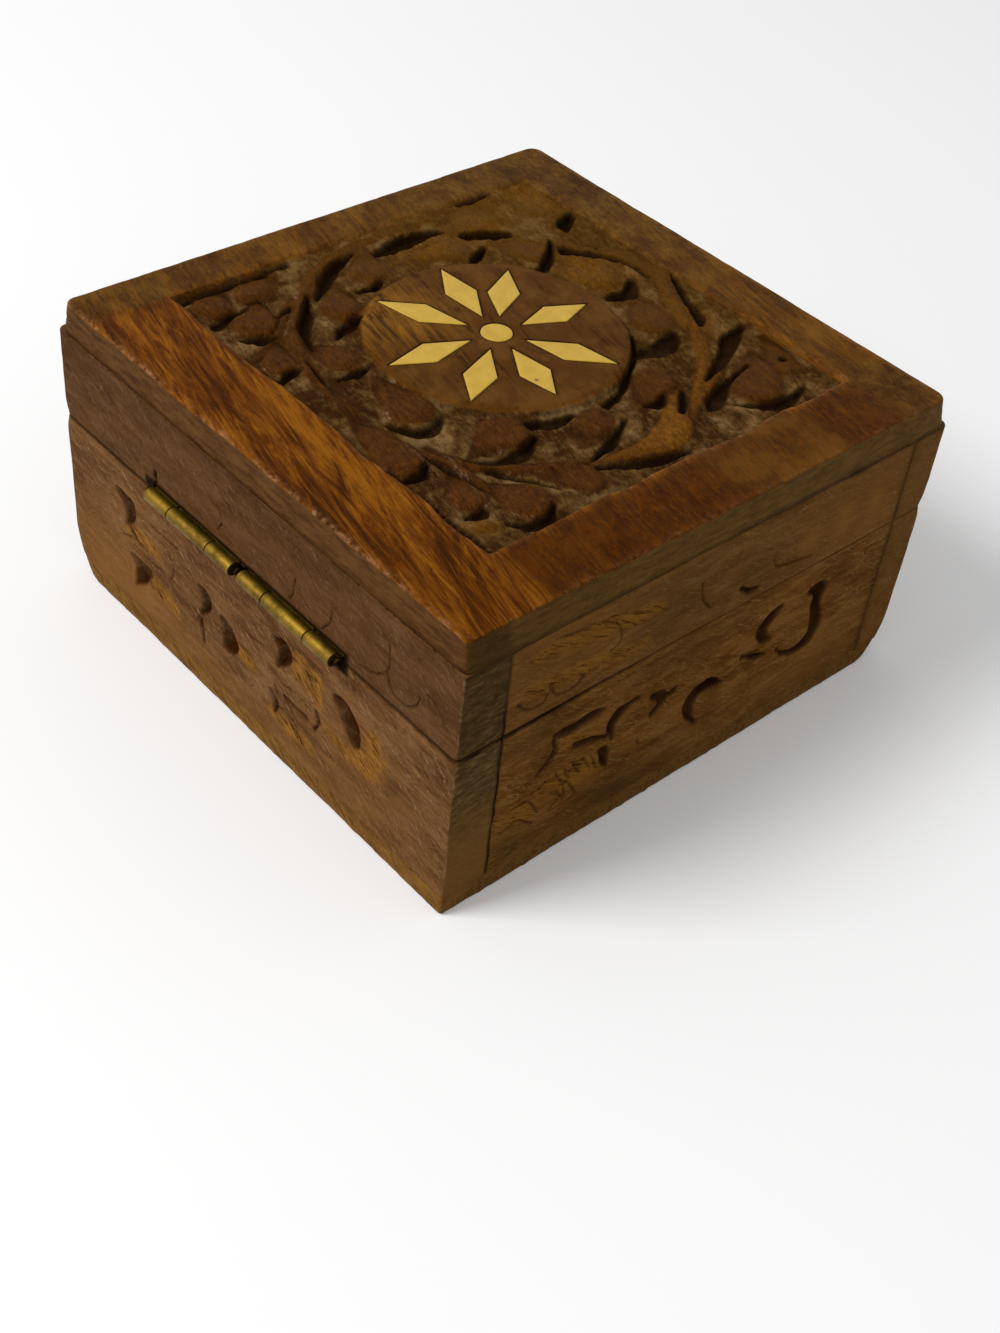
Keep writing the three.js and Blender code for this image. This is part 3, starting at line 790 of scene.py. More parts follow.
def pinPiece(name, middle):
    # A round bar whose ends are slightly domed.
    half, inset = hinges["length"] / 2, hinges["pinInset"]
    ends = taperedEnds(middle - half + inset, middle + half - inset, hinges["pinEnds"])
    profile = [(x, hinges["pin"] * share) for x, share in ends]
    return newPiece(name, *barShell(profile, hinges["axis"], 28), shades=40)


def screwPiece(name, x, level, slotTurn):
    # A countersunk head and shank turned about its axis, with a slot cut across the head.
    face, sign, y = hinges["faces"][level], 1 if level == 0 else -1, screws["y"]
    turn = np.linspace(0, 2 * np.pi, 40, endpoint=False)
    rings = []
    for radius, height in screws["profile"]:
        across, along = x + radius * np.cos(turn), y + sign * radius * np.sin(turn)
        rings.append(np.stack([across, along, np.full(40, face + sign * height)], 1))
    made = newPiece(name, *tubeShell(np.array(rings)), shades=40)
    halfX, halfY = screws["slot"]["half"]
    low, high = sorted([face - sign * screws["slot"]["deep"], face + sign])
    points, quads, triangles = blockShell((-halfX, -halfY, low), (halfX, halfY, high))
    px, py, pz = points.T
    c, s = math.cos(slotTurn), math.sin(slotTurn)
    cutOut(made, [(np.column_stack([x + px * c - py * s, y + px * s + py * c, pz]), quads, triangles)])
    return made


def makeHinges():
    made = []
    for k, middle in enumerate(hinges["middles"]):
        node = f"hinge_{k + 1}_"
        for level, body in ((0, "base"), (1, "lid")):
            leaf = hingeLeaf(f"hinge{k + 1}{body.capitalize()}Leaf", middle, level, (level == 0) == (k == 0))
            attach(leaf, body)
            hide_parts(node + body + "_leaf")
            made.append(leaf)
            for i, side in enumerate((-1, 1)):
                x = middle + side * (hinges["length"] / 2 - screws["fromEnd"])
                turn = screws["turns"][(2 * k + i + level) % 4]
                screw = screwPiece(f"hinge{k + 1}{body.capitalize()}Screw{i + 1}", x, level, turn)
                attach(screw, body)
                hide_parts(f"{node}{body}_screw_{i + 1}")
                made.append(screw)
        pin = pinPiece(f"hinge{k + 1}Pin", middle)
        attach(pin, "base")
        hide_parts(node + "pin")
        made.append(pin)
    for piece in made:
        # Marks the end faces of knuckles and pins, which the brass darkens: dirt and painted shade
        setMarks(piece, lambda points, normals: {"ends": smooth(np.abs(normals[:, 0]), 0.5, 0.8)})
    return made


sides = ("back", "front", "left", "right")
baseNodes = {side: f"base_{side}_wall" for side in sides}
lidNodes = {side: f"lid_{side}_rail" for side in sides}
baseWalls = makeFrame("base", 0, backBase, sideBase, "base", baseNodes)
lidRails = makeFrame("lidRail", 1, backRail, sideRail, "lid", lidNodes)
hingePieces = makeHinges()
print("walls, rails and hinges made")

# Bottom board

bottom = {
    "edges": (0.6, 0.1),
    "step": 0.4,
    "corners": ("worn", "near", "worn", "plain"),
    "sides": (250, 250, 200, 200),
    "levels": (0.0, joins["foot"]),
    "waves": [(0.06, 7, 55), (0.04, 1.5, 56)],
    "sunk": 0.06,
}


def makeBottom():
    low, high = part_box("bottom_board")
    board = {**bottom, "low": (low[0] / mm, low[1] / mm), "high": (high[0] / mm, high[1] / mm)}

    def relief(x, y, z, nx, ny):
        return layers(np.where(np.abs(nx) > np.abs(ny), y, x), z, bottom["waves"]) - bottom["sunk"]

    def marks(points, normals):
        outward = smooth(np.hypot(normals[:, 0], normals[:, 1]), 0.3, 0.7)
        dull = 0.6 * outward * smooth(-normals[:, 0], 0.3, 0.7)
        wearAndHighlight = outward * np.exp(-np.abs(points[:, 2]) / 0.8)
        return {"dull": dull, "ochre": 0.5 * outward - 0.3 * dull, "wearAndHighlight": wearAndHighlight, "inside": 1 - outward}

    made = boardPiece("bottomBoard", board, relief)
    setMarks(made, marks)
    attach(made, "base")
    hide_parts("bottom_board")
    return made


bottomPiece = makeBottom()
print("bottom board made")

# The lid's top board

lidBoard = {
    "edge": 0.5,
    "corner": 2.2,
    "nearCorner": 0.9,
    # How much further out the board's foot stands than its upper edge, and how much more on the -X side
    "slope": 0.6,
    "slopeMore": 0.45,
    "step": 0.32,
    "coarse": 0.85,
    "fieldX": (-36.3, 40.8),
    "fieldY": (-39.8, 35.2),
    "ground": -1.2,
    "gougeFloor": -2.35,
    "medallion": (4.75, -1.9, 21.6),
    "medallionTop": -0.2,
    "border": -0.085,
    # Unevenness as strength, size and seed
    "fieldEdge": [(0.4, 6.5, 3), (0.14, 1.7, 4)],
    "groundRise": [(0.3, 4.5, 6), (0.2, 2.1, 9)],
    "worn": [(0.2, 1.3, 61), (0.5, 5, 62)],
}

# Raised forms as x, y, half width and level below the border. The last point is the round head.
lidBuds = {
    "ringLeft": [(39, -1, 0.5, -1.3), (35, 1, 2.2, -0.9), (31, 2.8, 3.7, -0.4)],
    "ringLowLeft": [(31.8, 10, 0.6, -1.2), (28, 12.2, 2.3, -0.8), (24.8, 14, 3.5, -0.35)],
    "ringLow": [(19.6, 24.6, 0.5, -1.3), (16.4, 23.8, 2.2, -0.9), (13.2, 22.8, 3.4, -0.45)],
    "ringLowRight": [(6, 21.6, 1.0, -1.2), (1.4, 22, 2.8, -0.8), (-3.4, 22.4, 3.9, -0.4)],
    "ringRight": [(-17.6, 22.8, 0.4, -1.3), (-16.6, 18.6, 2.2, -0.8), (-15.9, 14.6, 4.0, -0.35)],
    "ringHighRight": [(-25.2, 7.4, 0.5, -1.3), (-23.4, 3.8, 2.2, -1.0), (-21.4, 1.0, 3.2, -0.6)],
    "ringUpperRight": [(-23.4, -7.6, 0.6, -1.3), (-20.8, -11, 2.6, -0.9), (-18.6, -14.4, 3.5, -0.5)],
    "ringTopRight": [(1.6, -29.8, 0.8, -1.3), (-2, -28.6, 2.6, -0.9), (-5.9, -26.6, 3.7, -0.5)],
    "ringTop": [(18, -25.6, 1.6, -1.2), (14, -27.4, 3.2, -0.8), (9.8, -28.4, 4.3, -0.4)],
    "ringTopLeft": [(27, -20, 1.0, -1.2), (24, -22.6, 2.8, -0.8), (21.2, -24.6, 3.6, -0.45)],
    "ringUpperLeft": [(30.4, -5, 1.0, -1.2), (30.4, -9, 2.6, -0.8), (29, -13.2, 3.4, -0.4)],
    "cornerTopLeft": [(38.8, -33, 1.0, -1.2), (36, -35.4, 3.0, -0.7), (32.6, -35.6, 4.0, -0.4)],
    "cornerLeft": [(39, -28.5, 1.2, -1.2), (37, -25.4, 3.2, -0.8), (34.6, -22.6, 4.0, -0.4)],
    "cornerLowLeft": [(39.2, 17, 0.8, -1.3), (37.6, 20, 2.2, -0.8), (36.2, 23.2, 3.0, -0.4)],
    "cornerLower": [(38.6, 27.6, 1.0, -1.2), (37.6, 29, 2.2, -0.8), (36, 30.6, 3.0, -0.4)],
    "cornerLowest": [(33.6, 24, 1.0, -1.2), (31, 26, 2.6, -0.8), (28.4, 27.8, 3.8, -0.35)],
    "lowBud": [(23, 28.4, 0.8, -1.3), (20, 30, 2.0, -0.8), (17.2, 31.4, 2.8, -0.5)],
    "lowRightBud": [(-0.6, 31, 0.6, -1.2), (-6, 31.2, 2.6, -0.7), (-12.6, 31.6, 3.7, -0.35)],
    "cornerRightLow": [(-18.4, 26.8, 0.5, -1.4), (-21.4, 28, 2.2, -1.0), (-24.6, 29, 3.2, -0.6)],
    "cornerRight": [(-23.6, 25, 0.6, -1.2), (-27.2, 23.8, 2.4, -0.8), (-30.6, 22.8, 3.9, -0.4)],
    "cornerRightHigh": [(-26.6, 17, 0.6, -1.3), (-29.2, 14.6, 2.2, -1.0), (-31.4, 12, 3.0, -0.7)],
    "bigLeafTopRight": [(-21, -34.4, 0.5, -1.2), (-25.4, -31, 3.0, -0.7), (-28.8, -27.2, 4.4, -0.4)],
    "cornerTopRight": [(-19.6, -39, 1.2, -1.2), (-23.4, -37.4, 2.2, -0.9), (-27.6, -35.6, 2.6, -0.7)],
}
# Stems, leaves and the vine, which end in points
lidStems = {
    "goldLeaf": [
        (-21.8, -16.4, 0.3, -0.9),
        (-25.6, -12, 1.6, -0.5),
        (-29.2, -8.6, 2.6, -0.25),
        (-31.1, -4, 2.6, -0.25),
        (-30.9, -0.6, 1.9, -0.35),
        (-30.1, 3.2, 1.1, -0.5),
        (-29.3, 7.4, 0.3, -0.9),
    ],
    "ringLeft": [(38.6, -19, 0.7, -0.9), (39, -9, 0.9, -0.6), (38.8, 1, 1.1, -0.5),
                 (35.8, 10.2, 1.3, -0.4), (31, 16.4, 1.4, -0.4)],
    "ringBottom": [(31, 16.4, 1.4, -0.4), (27, 20.6, 1.5, -0.4), (22.4, 25, 1.4, -0.5),
                   (17, 27.4, 1.3, -0.5), (8, 29.8, 1.1, -0.7), (0, 30.6, 0.6, -1.0)],
    "ringTop": [(21, -30.6, 0.5, -1.1), (12, -36.6, 1.3, -0.7), (3, -37.4, 1.6, -0.6),
                (-4, -33.6, 2.0, -0.6), (-10, -30.6, 1.2, -0.5)],
    "stemRight": [(-9.4, -32.4, 0.8, -0.5), (-15.6, -28, 1.2, -0.4), (-20, -24.4, 1.2, -0.35),
                  (-25, -17.6, 0.9, -0.5), (-29, -12.4, 0.6, -0.8)],
    "stemSide": [(-19.6, -30.6, 0.5, -0.7), (-22.4, -24.6, 0.9, -0.4), (-25.6, -18.4, 0.8, -0.5),
                 (-28.4, -13, 0.4, -0.8)],
    "vineRight": [(-28.4, 8.8, 0.5, -1.0), (-26.4, 14, 1.2, -0.7), (-22.4, 20.4, 1.3, -0.6),
                  (-17.6, 24.6, 1.0, -0.7), (-12, 26.6, 0.5, -0.9)],
    "vineLow": [(-11, 28.6, 0.5, -0.9), (-15.4, 26.8, 0.9, -0.5), (-20, 25.8, 0.9, -0.45),
                (-25.4, 25.2, 0.7, -0.6)],
    "cornerStem": [(31, 18.8, 0.8, -0.7), (27.6, 23.4, 1.0, -0.7), (24, 27, 1.0, -0.8),
                   (21.2, 31.4, 0.8, -0.8), (20, 34.8, 0.6, -0.9)],
    "footSpray": [(-1, 27.2, 0.4, -1.1), (3.6, 28.6, 0.7, -0.8), (9, 28.2, 0.4, -1.0)],
}
# Deep gouge cuts, mostly on the -X side of the heads, as x, y and half width
lidGouges = {
    "headLeft": [(27.6, 3.2, 0.3), (26.9, 5.6, 0.8), (27.4, 8.2, 0.2)],
    "headLowLeft": [(21.2, 11.6, 0.3), (20.4, 14.4, 0.9), (19.6, 17.4, 0.8), (18.2, 19.6, 0.2)],
    "headLow": [(9.4, 20.2, 0.3), (8.6, 23.4, 0.8), (9, 26.4, 0.2)],
    "headLowRight": [(-7, 19, 0.3), (-8.9, 22.3, 1.0), (-8.1, 25.6, 0.8), (-4.4, 28, 0.2)],
    "headRight": [(-19, 11, 0.3), (-21.1, 15.4, 1.2), (-20.6, 20.2, 1.0), (-18, 23.8, 0.1)],
    "pitRight": [(-18.2, 2.4, 0.5), (-17.7, 6.2, 1.3), (-16.6, 9.8, 0.9)],
    "headFoot": [(-15.2, 28.8, 0.3), (-17.1, 31.6, 0.9), (-16.7, 34.6, 0.5)],
    "headCornerLow": [(-27.6, 28.6, 0.3), (-28.6, 29.8, 0.8), (-28, 32, 0.4)],
    "headCorner": [(-33, 20, 0.3), (-35.2, 22.8, 0.9), (-34.6, 26, 0.9), (-32.4, 28.2, 0.2)],
    "headCornerLeft": [(23.6, 27.4, 0.4), (24.2, 29.9, 0.9), (25.8, 32.2, 0.4)],
    "betweenHeads": [(32.8, 26.6, 0.3), (32.3, 29.8, 0.6), (31.6, 33.4, 0.8)],
    "lowHead": [(14.4, 29.6, 0.3), (14, 32, 0.8), (13.2, 34.4, 0.8)],
    "trench": [(40.3, 13, 0.4), (40.1, 21.2, 0.6), (40.3, 29.4, 0.7), (40.2, 34.2, 0.9)],
    "slitLow": [(15.2, 27.7, 0.15), (12, 28.2, 0.3), (8.3, 28.9, 0.15)],
    "grooveLowLeft": [(37.3, 1.7, 0.3), (35.6, 6.7, 0.9), (32.8, 10.9, 1.0), (29.4, 15.1, 0.3)],
    "grooveBottom": [(30.3, 16.4, 0.3), (25.8, 19.8, 1.0), (22.4, 22.8, 0.9), (17.6, 24.6, 0.3)],
    "nickLow": [(29.3, 20.5, 0.3), (28.3, 23.9, 0.5)],
    "vineLine": [(-21.6, 22.6, 0.5), (-26, 19.8, 0.5), (-30.6, 16.8, 0.25)],
    "vineLowLine": [(-14, 27.9, 0.25), (-19, 27, 0.35), (-24.8, 26.4, 0.25)],
    "fieldFoot": [(-14, 34.9, 0.3), (-22, 34.6, 0.4), (-35.8, 34.7, 0.5)],
    "goldRight": [(-34.8, -6, 0.3), (-34.2, -1.6, 0.7), (-32.6, 3, 0.9), (-30.2, 8.6, 0.3)],
    "goldLeft": [(-23.8, -3, 0.3), (-26.2, 1.6, 0.9), (-27.4, 5, 0.7), (-28.2, 8, 0.2)],
    "wedgeLong": [(-15, -38.8, 0.3), (-16.8, -34, 1.5), (-18.9, -30.6, 1.2), (-21.2, -26.4, 0.9),
                  (-23.2, -21.6, 0.2)],
    "wedgeSide": [(-24, -30.4, 0.2), (-25.4, -24, 0.8), (-27.4, -19.4, 1.4), (-28.8, -16.6, 0.4)],
    "leafTopRight": [(-33, -34, 0.3), (-33.9, -29.7, 0.9), (-34, -26.2, 1.0), (-32.4, -23.2, 0.6),
                     (-30, -21, 0.2)],
    "dotTopRight": [(-26, -36.8, 0.6), (-26.2, -36.2, 0.6)],
    "arcTop": [(2.3, -39.6, 0.3), (-3.3, -36.9, 0.6), (-9.2, -34.2, 0.9), (-11.2, -32.6, 0.4)],
    "headTop": [(5, -32.4, 0.8), (2.4, -29.3, 1.5), (2.9, -25.4, 0.7)],
    "headTopRight": [(-10.6, -27.2, 0.8), (-12.2, -23.2, 2.0), (-12, -18.2, 1.1)],
    "medallionEdge": [(-7.2, -20.8, 0.3), (-11.2, -17.4, 0.6), (-14.4, -13, 0.6), (-17.6, -8.2, 0.6),
                      (-19, -3.8, 0.7)],
    "headUpperRight": [(-22.2, -13.2, 0.3), (-23.5, -10.9, 1.0), (-22.8, -9, 0.5)],
    "wedgeTopLeft": [(27, -38.8, 0.9), (25.2, -35.6, 1.3), (23.4, -34.4, 0.3)],
    "arcTopLeft": [(18.2, -29.6, 1.2), (14.8, -32.8, 1.0), (11.6, -34.8, 0.6), (4.6, -36, 0.4)],
    "curlTopLeft": [(22, -29.6, 0.4), (18.6, -26, 0.8), (15.8, -22, 0.9)],
    "headTopLeft": [(27.8, -24.8, 0.7), (29.8, -21.6, 1.4), (31.4, -18, 0.9)],
    "headUpperLeft": [(26.8, -18.6, 0.3), (25.3, -15.8, 0.8), (24.2, -13.6, 0.6)],
    "grooveLeft": [(35.2, -15.6, 0.5), (35.8, -11, 1.4), (35.6, -6, 1.5), (35.3, -1.6, 0.7)],
    "edgeLeft": [(40.3, -31, 0.3), (40.3, -28, 0.5), (40.3, -24, 0.3)],
    "slitLeaf": [(-22.9, -16.8, 0.4), (-25.4, -14.2, 0.7), (-27.6, -11.4, 0.3)],
}
# Golden leaves and strips, where the wood is paler
lidGold = ["goldLeaf", "stemRight", "stemSide"]


def lidFields(board):
    forms = [curveThrough(rows) for rows in [*lidBuds.values(), *lidStems.values()]]
    gouges = [curveThrough(rows) for rows in lidGouges.values()]
    gold = [curveThrough(lidStems[name]) for name in lidGold]
    cx, cy, radius = board["medallion"]
    (x0, x1), (y0, y1) = board["fieldX"], board["fieldY"]

    def fields(x, y):
        # Signed distances, positive inside: sunk field, medallion, forms, gouge cuts and golden leaves.
        edge = layers(x, y, board["fieldEdge"])
        field = np.minimum(np.minimum(x - x0, x1 - x), np.minimum(y - y0, y1 - y)) + edge
        disc = radius - np.hypot(x - cx, y - cy) + 0.28 * noise(x, y, 6, 5)
        form, level = nearestOf(forms, x, y, 0.14)
        gouge = nearestOf(gouges, x, y, 0.16)[0]
        golden = nearestOf(gold, x, y, 0.2)[0]
        return field, disc, -form, level, -gouge, -golden

    return fields


def lidHeight(board, fields):
    # The highest of the chiselled ground and the forms' tops, lowered in the gouge cuts. The medallion and
    # the border stand over it.
    def height(x, y):
        field, disc, form, level, gouge, _ = fields(x, y)
        chisel = 0.17 * noise(x * 0.4, y * 1.3, 0.8, 7) + 0.08 * noise(x * 0.7, y * 1.2, 0.5, 8)
        rise = layers(x, y, board["groundRise"])
        ground = board["ground"] + 0.5 * smooth(0.8 * x - y, 0, 60) + chisel * smooth(field, 0.4, 2.0) + rise
        facets = 0.09 * noise(x + 0.4 * y, y - 0.4 * x, 2.4, 19) + 0.06 * noise(x * 0.5, y * 1.4, 0.9, 14)
        crown = level - 0.42 * (1 - smooth(form, 0, 1.5)) + facets
        z = ground + (np.maximum(crown, ground) - ground) * smooth(form, -0.6, 0.4)
        floor = board["gougeFloor"] + 0.15 * noise(x, y, 0.8, 15)
        z = z + (np.minimum(floor, z) - z) * smooth(gouge, -0.35, 0.55)
        top = board["medallionTop"] + 0.05 * noise(x, y, 6, 11) - 0.3 * (1 - smooth(disc, 0, 1.1))
        cutIn = smooth(gouge, 0.1, 0.5) * smooth(-disc, -0.6, 0.3)
        z = z + (top - z) * smooth(disc, -0.45, 0.15) * (1 - cutIn)
        border = 0.06 * noise(x, y, 9, 12) + 0.02 * noise(x * 0.3, y * 1.3, 1.6, 13) + board["border"]
        rounded = 0.3 * fade(-field, 0.5)
        return z + (border - rounded - z) * smooth(-field, -0.3, 0.4)

    return height


# Dirt and painted shade, wear and painted highlights, and uneven colour of the lid. Spots are strength,
# middle in x and y, reach in x and y.
lidAge = {
    "goldBright": (0.5, -30, -7, 5, 6),
    "goldFar": [
        (0.8, 11, -28, 6, 4),
        (0.7, 36, -37, 6, 4),
        (0.5, 33, -23, 4, 4),
        (0.6, 31, -10, 3, 6),
        (0.5, -8, -33, 6, 3),
    ],
    # Painted glint streaks
    "glintLow": (0.5, -16, 29, 5, 0.3),
    "glintSlanted": (0.9, -20, 22.3, 5, 0.35),
    "sideSpot": (1, -28, -5, 3, 0.5),
    "warm": [(1, 17, 9, 75**0.5, 75**0.5), (1, -31, 32, 12**0.5, 12**0.5)],
    "ragged": [(0.5, 2.6, 17), (0.35, 0.9, 18)],
    "ridges": [(1, 2.2, 20), (0.5, 0.8, 21)],
}


def lidShadeAndDirt(x, y, w, normals, field, disc, form, gouge, inField, offDisc, rims):
    # Painted shade with some dirt at the forms' feet, the field's edge, deep cuts, hollows and steep walls;
    # dark seam and glue round the inlay.
    nx, ny, nz = normals.T
    atFoot = fade(-np.maximum(form, disc), 0.5) * smooth(-w, 0.7, 1.4)
    atEdge = fade(field, 0.5) * smooth(-w, 0.8, 1.5)
    deep = smooth(gouge, -0.4, 0.15) * smooth(-w, 0.5, 1.3)
    steep = offDisc * (1 - smooth(nz, 0.5, 0.86)) * smooth(-w, 0.25, 0.7)
    onSide = smooth(-nx, 0.4, 0.8)
    glue = fade(nearestOf(rims, x, y)[0] - inlays["gap"], 0.25) * (w > -2)
    kinds = [
        inField * np.clip(np.maximum(np.maximum(0.7 * atFoot, 0.4 * atEdge), deep), 0, 1),
        inField * offDisc * smooth(-w, 1.9, 2.4),
        0.6 * inField * steep,
        0.7 * smooth(-w, 4.6, 5.0) * smooth(np.hypot(nx, ny), 0.3, 0.6),
        onSide * (0.15 + 0.4 * smooth(y, 41.5, 43.5)) * smooth(y, 20, 30),
        onSide * spots(y, w, [lidAge["sideSpot"]]),
        (0.75 + 0.3 * noise(x, y, 1.6, 23)) * glue,
    ]
    return np.max(kinds, axis=0)


def lidGlint(x, y, ny, form):
    # Painted highlights: pale ridges along the forms' +Y edges, which face the lamp, and two painted glint
    # streaks.
    ridge = np.exp(-(((form - 0.1) / 0.28) ** 2)) * smooth(layers(x, y, lidAge["ridges"]), -0.1, 0.6)
    glint = ridge * smooth(ny, 0.1, 0.35) * smooth(y, -6, 14)
    return glint + spots(x, y + 0.2 * x, [lidAge["glintSlanted"]]) + spots(x, y, [lidAge["glintLow"]])


def lidWearAndHighlight(x, y, w, field, half):
    # Paler wood along the board's rim, ragged and mostly on the +Y and -Y edges, and along the field's edge:
    # wear and painted highlight.
    atRim = np.minimum(half[0] - np.abs(x), half[1] - np.abs(y))
    ragged = layers(x, y, lidAge["ragged"], 0.45)
    rim = fade(atRim - 0.3, 0.5) * smooth(w, -1.2, -0.5) * np.clip(ragged * 1.4, 0, 1)
    inner = np.exp(-np.abs(field + 0.2) / 0.4) * smooth(w, -0.8, -0.25)
    inner = inner * (0.3 + 0.6 * smooth(-x, 34, 35.5) * smooth(-y, -24, 0))
    return np.maximum(rim * np.where(np.abs(y) > 49, 1.0, 0.35), inner)


def lidMarks(board, fields, top):
    # What the lid board's material reads at each point, from 0 to 1.
    rims = [np.pad(line + place, ((0, 0), (0, 2))) for line, place, _ in inlayOutlines(40).values()]

    def marks(points, normals):
        x, y, z = points.T
        nx, ny, nz = normals.T
        w = z - top
        field, disc, form, _, gouge, golden = fields(x, y)
        up = smooth(nz, -0.2, 0.3) * smooth(w, -3.2, -2.6)
        inField = smooth(field, -0.1, 0.3) * up
        offDisc = 1 - smooth(disc, -0.15, 0.2)
        onForm = smooth(form, -0.35, 0.15)
        onBorder = smooth(w, -0.9, -0.5) * (1 - smooth(field, -0.3, 0))
        onGold = smooth(golden, -0.2, 0.3) * (0.5 + spots(x, y, [lidAge["goldBright"]]))
        farGold = spots(x, y, lidAge["goldFar"]) * (1 - smooth(gouge, -0.3, 0))
        atBack = np.maximum(0.75 * smooth(-y, 37, 43), 0.75 * smooth(x, 39, 43))
        near = smooth(-x + 1.6 * noise(x, y, 3.5, 16), 34.5, 38.5) * (1 - 0.8 * smooth(y, 32, 38))
        patch = smooth(0.8 * noise(x, y, 3, 24) - y, 4, 6) * smooth(y, -29, -25) * smooth(-x, 36, 38)
        return {
            "stain": lidShadeAndDirt(x, y, w, normals, field, disc, form, gouge, inField, offDisc, rims),
            "patch": patch * onBorder,
            "ground": inField * offDisc * (1 - onForm),
            "carved": inField * offDisc * onForm,
            "medallion": smooth(disc, -0.1, 0.2) * up,
            "gold": np.maximum(onGold, farGold) * inField,
            "glint": lidGlint(x, y, ny, form) * inField * offDisc,
            "wearAndHighlight": lidWearAndHighlight(x, y, w, field, board["half"]),
            "far": np.maximum(smooth(-y + 0.8 * x, -12, 66), atBack),
            "warm": spots(x, y, lidAge["warm"]),
            "near": near * onBorder,
            "side": 1 - smooth(nz, 0.15, 0.6) * smooth(w, -3.4, -2.6),
            "endGrain": smooth(np.abs(nx), 0.6, 0.9) * smooth(np.abs(x), 48.5, 48.9),
            "inside": smooth(-nz, 0.5, 0.9),
        }

    return marks


def gridLines(half, inner, step, coarse):
    # Positions from -half to half: every step between the inner limits, wider outside, close at the ends.
    low, high, last = inner[0] - 0.9, inner[1] + 0.9, half - 1.7
    middle = np.linspace(low, high, int(round((high - low) / step)) + 1)
    left = np.linspace(-last, low, max(2, int((last + low) / coarse) + 1))
    right = np.linspace(high, last, max(2, int((last - high) / coarse) + 1))
    ends = half - np.array([0, 0.15, 0.4, 0.8, 1.2])
    return np.unique(np.concatenate([-ends, left, middle, right, ends]).round(5))


def topBoardShell(board, height):
    # The inner grid carries the height. Its rim goes round the edge's quarter circle, down the side, round a
    # small lower edge and meets in the middle of the underside. Corner squares are drawn in to quarter discs:
    # a, b becomes a sqrt(1 - b b / 2), b sqrt(1 - a a / 2).
    halfU, halfV = board["half"]
    edge, thick = board["edge"], board["thick"]
    us = gridLines(halfU - edge, board["fieldX"], board["step"], board["coarse"])
    vs = gridLines(halfV - edge, board["fieldY"], board["step"], board["coarse"])
    u, v = np.meshgrid(us, vs, indexing="ij")
    radius = np.where((u < 0) & (v > 0), board["nearCorner"], board["corner"])
    reach = radius - edge
    coreU, coreV = halfU - radius, halfV - radius
    a = np.clip((np.abs(u) - coreU) / reach, 0, 1)
    b = np.clip((np.abs(v) - coreV) / reach, 0, 1)
    inCorner = (a > 0) & (b > 0)
    u = np.where(inCorner, np.sign(u) * (coreU + reach * a * np.sqrt(1 - b * b / 2)), u)
    v = np.where(inCorner, np.sign(v) * (coreV + reach * b * np.sqrt(1 - a * a / 2)), v)
    w = height(u, v)
    nu, nv = u.shape
    index = np.arange(nu * nv).reshape(nu, nv)
    quads = [np.stack([index[:-1, :-1], index[1:, :-1], index[1:, 1:], index[:-1, 1:]], -1).reshape(-1, 4)]
    loop = np.concatenate([index[:-1, 0], index[-1, :-1], index[:0:-1, -1], index[0, :0:-1]])
    pu, pv, pw, loopU, loopV = (part.ravel()[loop] for part in (u, v, w, coreU, coreV))
    offU, offV = pu - np.clip(pu, -loopU, loopU), pv - np.clip(pv, -loopV, loopV)
    size = np.maximum(np.hypot(offU, offV), 1e-9)
    outU, outV = offU / size, offV / size
    worn = 0.5 * edge * layers(pu + pv, pu - pv, board["worn"])
    # Each ring's share of the edge outwards, its drop below the rim, and how much of the height it keeps
    rings = [(np.sin(t), -edge * (1 - np.cos(t)), 1.0 - t / 1.58) for t in np.radians([22.5, 45, 67.5, 90])]
    side = thick - edge - 0.2
    rings += [(1.0, -edge - side * share, 0.0) for share in np.linspace(0.15, 1, 6)]
    rings += [(0.94, -thick + 0.06, 0.0), (0.6, -thick, 0.0)]
    points = [np.stack([u.ravel(), v.ravel(), w.ravel()], 1)]
    start, previous = nu * nv, loop
    slope = board["slope"] * (1 + board["slopeMore"] * smooth(-outU, 0.3, 0.8))
    for out, drop, top in rings:
        dent = 0.05 * noise(pu + pv, pu - pv + 9 * drop, 1.6, 63) * (drop < -edge) * (drop > -thick + 0.2)
        away = edge * out - worn * out * (1 if drop > -1.6 else 0.4) + dent
        away = away + slope * np.clip((-drop - edge) / (thick - edge), 0, 1) * (out > 0.5)
        low = pw * top - 0.5 * np.abs(worn) * top + drop
        points.append(np.stack([pu + outU * away, pv + outV * away, low], 1))
        current = start + np.arange(len(loop))
        start += len(loop)
        quads.append(np.stack([previous, current, np.roll(current, -1), np.roll(previous, -1)], -1))
        previous = current
    points.append(np.array([[0, 0, -thick]]))
    fan = np.stack([current, np.full(len(loop), start), np.roll(current, -1)], -1)
    return np.vstack(points), np.vstack(quads), fan


# Inlay: eight hand-cut petals and a dot, with a dark gap of glue round each

inlays = {
    "middle": lidBoard["medallion"][:2],
    "top": 53.2,
    "depth": 1.2,
    "gap": 0.15,
    "inner": 5.0,
    "outer": 20.0,
    "width": 5.35,
    "dotRadius": 2.6,
    # How far the upper edge is drawn in, and how far below the top
    "rounded": [(0, -0.12), (-0.05, -0.03), (-0.14, 0), (-0.6, 0.01)],
    # Angle, reach, and how far the two side corners stand from the middle of the length
    "petals": [
        (29.8, 1.02, 0.4, -0.5),
        (83.9, 1.015, -0.3, 0.5),
        (127.7, 1.0, 0.7, 0.1),
        (168.4, 0.93, 0.2, 0.6),
        (210.7, 1.005, -0.4, 0.3),
        (265.0, 0.91, 0.6, -0.2),
        (313.3, 0.99, 0.2, -0.4),
        (345.9, 1.02, -0.2, 0.5),
    ],
}


